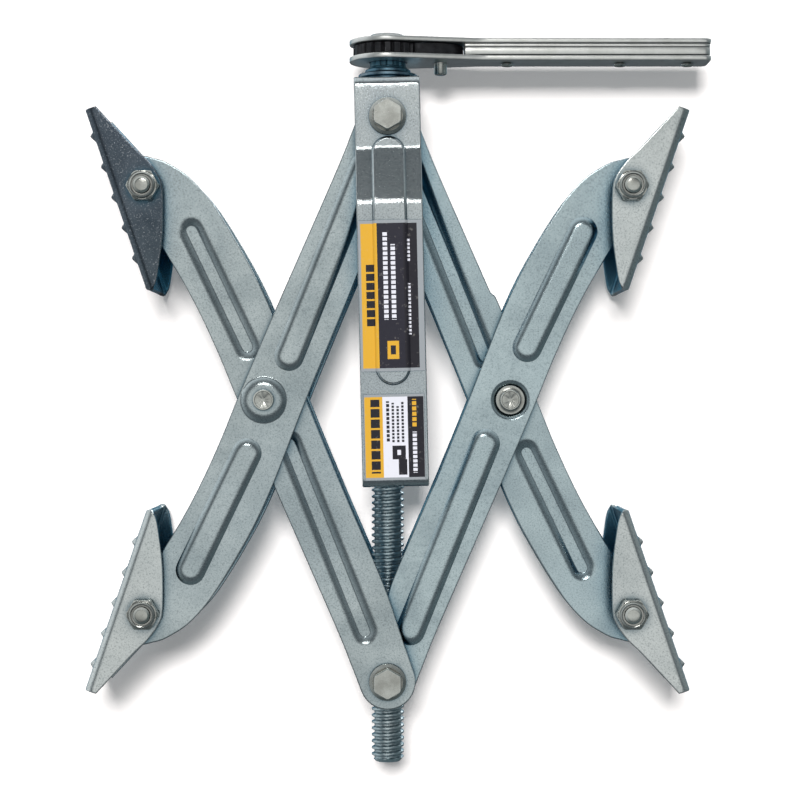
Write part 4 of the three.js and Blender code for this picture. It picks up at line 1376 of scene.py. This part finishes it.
def build_head_parts():
    build_gear()
    build_pawl()
    low, high = span("head_cap")
    radius, z0, z1 = (high[0] - low[0]) / 2, low[2], high[2]
    profile = [(AXIS_R, z0), (radius - 0.3, z0), (radius, z0 + 0.4), (radius, z0 + 1.3)]
    profile += [(radius - 0.4, z0 + 1.9), (radius - 1.6, z1 - 0.35), (radius - 3.5, z1)]
    profile.append((AXIS_R, z1 - 0.25))
    cap = turned(profile, along_z(), 64)
    make_piece("head_cap_turned", *cap, "head_cap", "bright_plate", CAP_STEEL, 30)
    for k in (1, 2):
        build_ring(f"thrust_washer_{k}", ZINC_HUB, WASHER_BORE, axis="z")


# ---- floor, light, camera ---------------------------------------------------------------------
FLOOR_GAP = 0.0012
FLOOR_REACH = 1.6
FLOOR_KEY_PLACE = (-0.20, -4.0, 1.0)
METAL_KEY_PLACE = (-0.10, -1.13, 0.59)
BACK_PLACE = (0.35, 1.35, 0.75)
CAMERA_X = 0.006
CAMERA_DISTANCE = 1.019
VIEW_WIDTH = 0.3952


def build_stage():
    """The object lies on its back on a pale sheet, seen from straight above."""
    depth = CAD_HIGH.y + FLOOR_GAP
    mesh = bpy.data.meshes.new("floor")
    corners = [(x * FLOOR_REACH, depth, z * FLOOR_REACH) for x, z in ((-1, -1), (1, -1), (1, 1), (-1, 1))]
    mesh.from_pydata(corners, [], [(0, 1, 2, 3)])
    floor = bpy.data.objects.new("floor", mesh)
    bpy.context.scene.collection.objects.link(floor)
    n = Nodes("floor_paper")
    grain = n.noise(30, 3)
    paper = n.mix(grain, (0.95, 0.915, 0.905, 1), (0.97, 0.935, 0.925, 1))
    n.finish(paper, 0.9, n.bump(grain, 0.01, 0.0002), 0.0)
    n.shader.inputs["Specular IOR Level"].default_value = 0.0
    n.shader.inputs["Emission Color"].default_value = (1.0, 0.96, 0.94, 1)
    n.shader.inputs["Emission Strength"].default_value = 0.10
    output = n.tree.nodes["Material Output"]
    clear = n.add("ShaderNodeBsdfTransparent")
    blend = n.add("ShaderNodeMixShader")
    n.put(blend.inputs[0], n.add("ShaderNodeNewGeometry").outputs["Backfacing"])
    n.put(blend.inputs[1], n.shader.outputs[0])
    n.put(blend.inputs[2], clear.outputs[0])
    n.put(output.inputs["Surface"], blend.outputs[0])
    mesh.materials.append(n.material)
    floor.visible_diffuse = False
    floor.visible_glossy = False
    floor.visible_shadow = False


def add_light(name, place, size, power, tint=(1, 1, 1), diffuse=True, glossy=True):
    data = bpy.data.lights.new(name, "AREA")
    data.shape = "RECTANGLE"
    data.size, data.size_y = size
    data.energy = power
    data.color = tint
    lamp = bpy.data.objects.new(name, data)
    lamp.location = place
    lamp.rotation_mode = "QUATERNION"
    lamp.rotation_quaternion = (-Vector(place)).to_track_quat("-Z", "Y")
    lamp.visible_diffuse = diffuse
    lamp.visible_glossy = glossy
    bpy.context.scene.collection.objects.link(lamp)


def build_light():
    """A soft box over the upper edge, in a room pale in front, bright up left, dim down right."""
    n = Nodes("studio", world=True)
    bpy.context.scene.world = n.material
    ahead = n.toward((0, -1, 0), n.where)
    wide = n.add("ShaderNodeVectorMath", operation="MULTIPLY")
    n.put(wide.inputs[0], n.where)
    wide.inputs[1].default_value = (0.5, 1.0, 1.0)
    flat = n.add("ShaderNodeVectorMath", operation="NORMALIZE")
    n.put(flat.inputs[0], wide.outputs[0])
    core = n.toward((0, -1, 0), flat.outputs[0])
    behind = n.toward((0, 1, 0), n.where)
    side = n.fit(n.toward((-0.5, 0, 0.85), n.where), -0.55, 0.85)
    horizon = n.mix(side, (0.11, 0.14, 0.15, 1), (0.72, 0.76, 0.78, 1))
    below = n.fit(n.toward((0, 0, -1), n.where), 0.06, 0.14)
    back = n.mix(below, (0.07, 0.19, 0.27, 1), (0.075, 0.075, 0.08, 1))
    sky = n.mix(n.fit(ahead, 0.30, 0.75), horizon, (0.10, 0.115, 0.125, 1))
    sky = n.mix(n.fit(core, 0.915, 0.975), sky, (0.62, 0.64, 0.64, 1))
    sky = n.mix(n.fit(behind, 0.55, 0.93), sky, back)
    seen = n.add("ShaderNodeLightPath").outputs["Is Camera Ray"]
    n.put(n.shader.inputs["Color"], n.mix(seen, sky, (0.96, 0.96, 0.96, 1)))
    n.shader.inputs["Strength"].default_value = 1.0
    add_light("key_on_floor", FLOOR_KEY_PLACE, (0.95, 0.80), 188.0, (1.0, 0.99, 0.98), glossy=False)
    add_light("key_on_metal", METAL_KEY_PLACE, (0.30, 0.13), 1.35, (1.0, 0.99, 0.97), diffuse=False)
    add_light("behind", BACK_PLACE, (0.6, 0.6), 3.0)


def build_camera():
    """Straight in front, at a distance that leaves a slight perspective."""
    data = bpy.data.cameras.new("camera")
    data.sensor_width = 36.0
    data.lens = 36.0 * CAMERA_DISTANCE / VIEW_WIDTH
    data.clip_start, data.clip_end = 0.05, 20
    camera = bpy.data.objects.new("camera", data)
    camera.location = (CAMERA_X, -CAMERA_DISTANCE, 0.0)
    camera.rotation_euler = (math.pi / 2, 0, 0)
    bpy.context.scene.collection.objects.link(camera)
    bpy.context.scene.camera = camera
    bpy.context.scene.view_settings.view_transform = "Standard"


build_arms()
build_bracket()
build_labels()
for pad_node, pad_side, pad_up in PADS:
    build_pad(pad_node, pad_side, pad_up, ZINC_DARK if pad_node == "pad_ul" else ZINC_PAD)
build_fasteners()
build_screw()
build_blocks()
build_handle()
build_head_parts()
build_stage()
build_light()
build_camera()
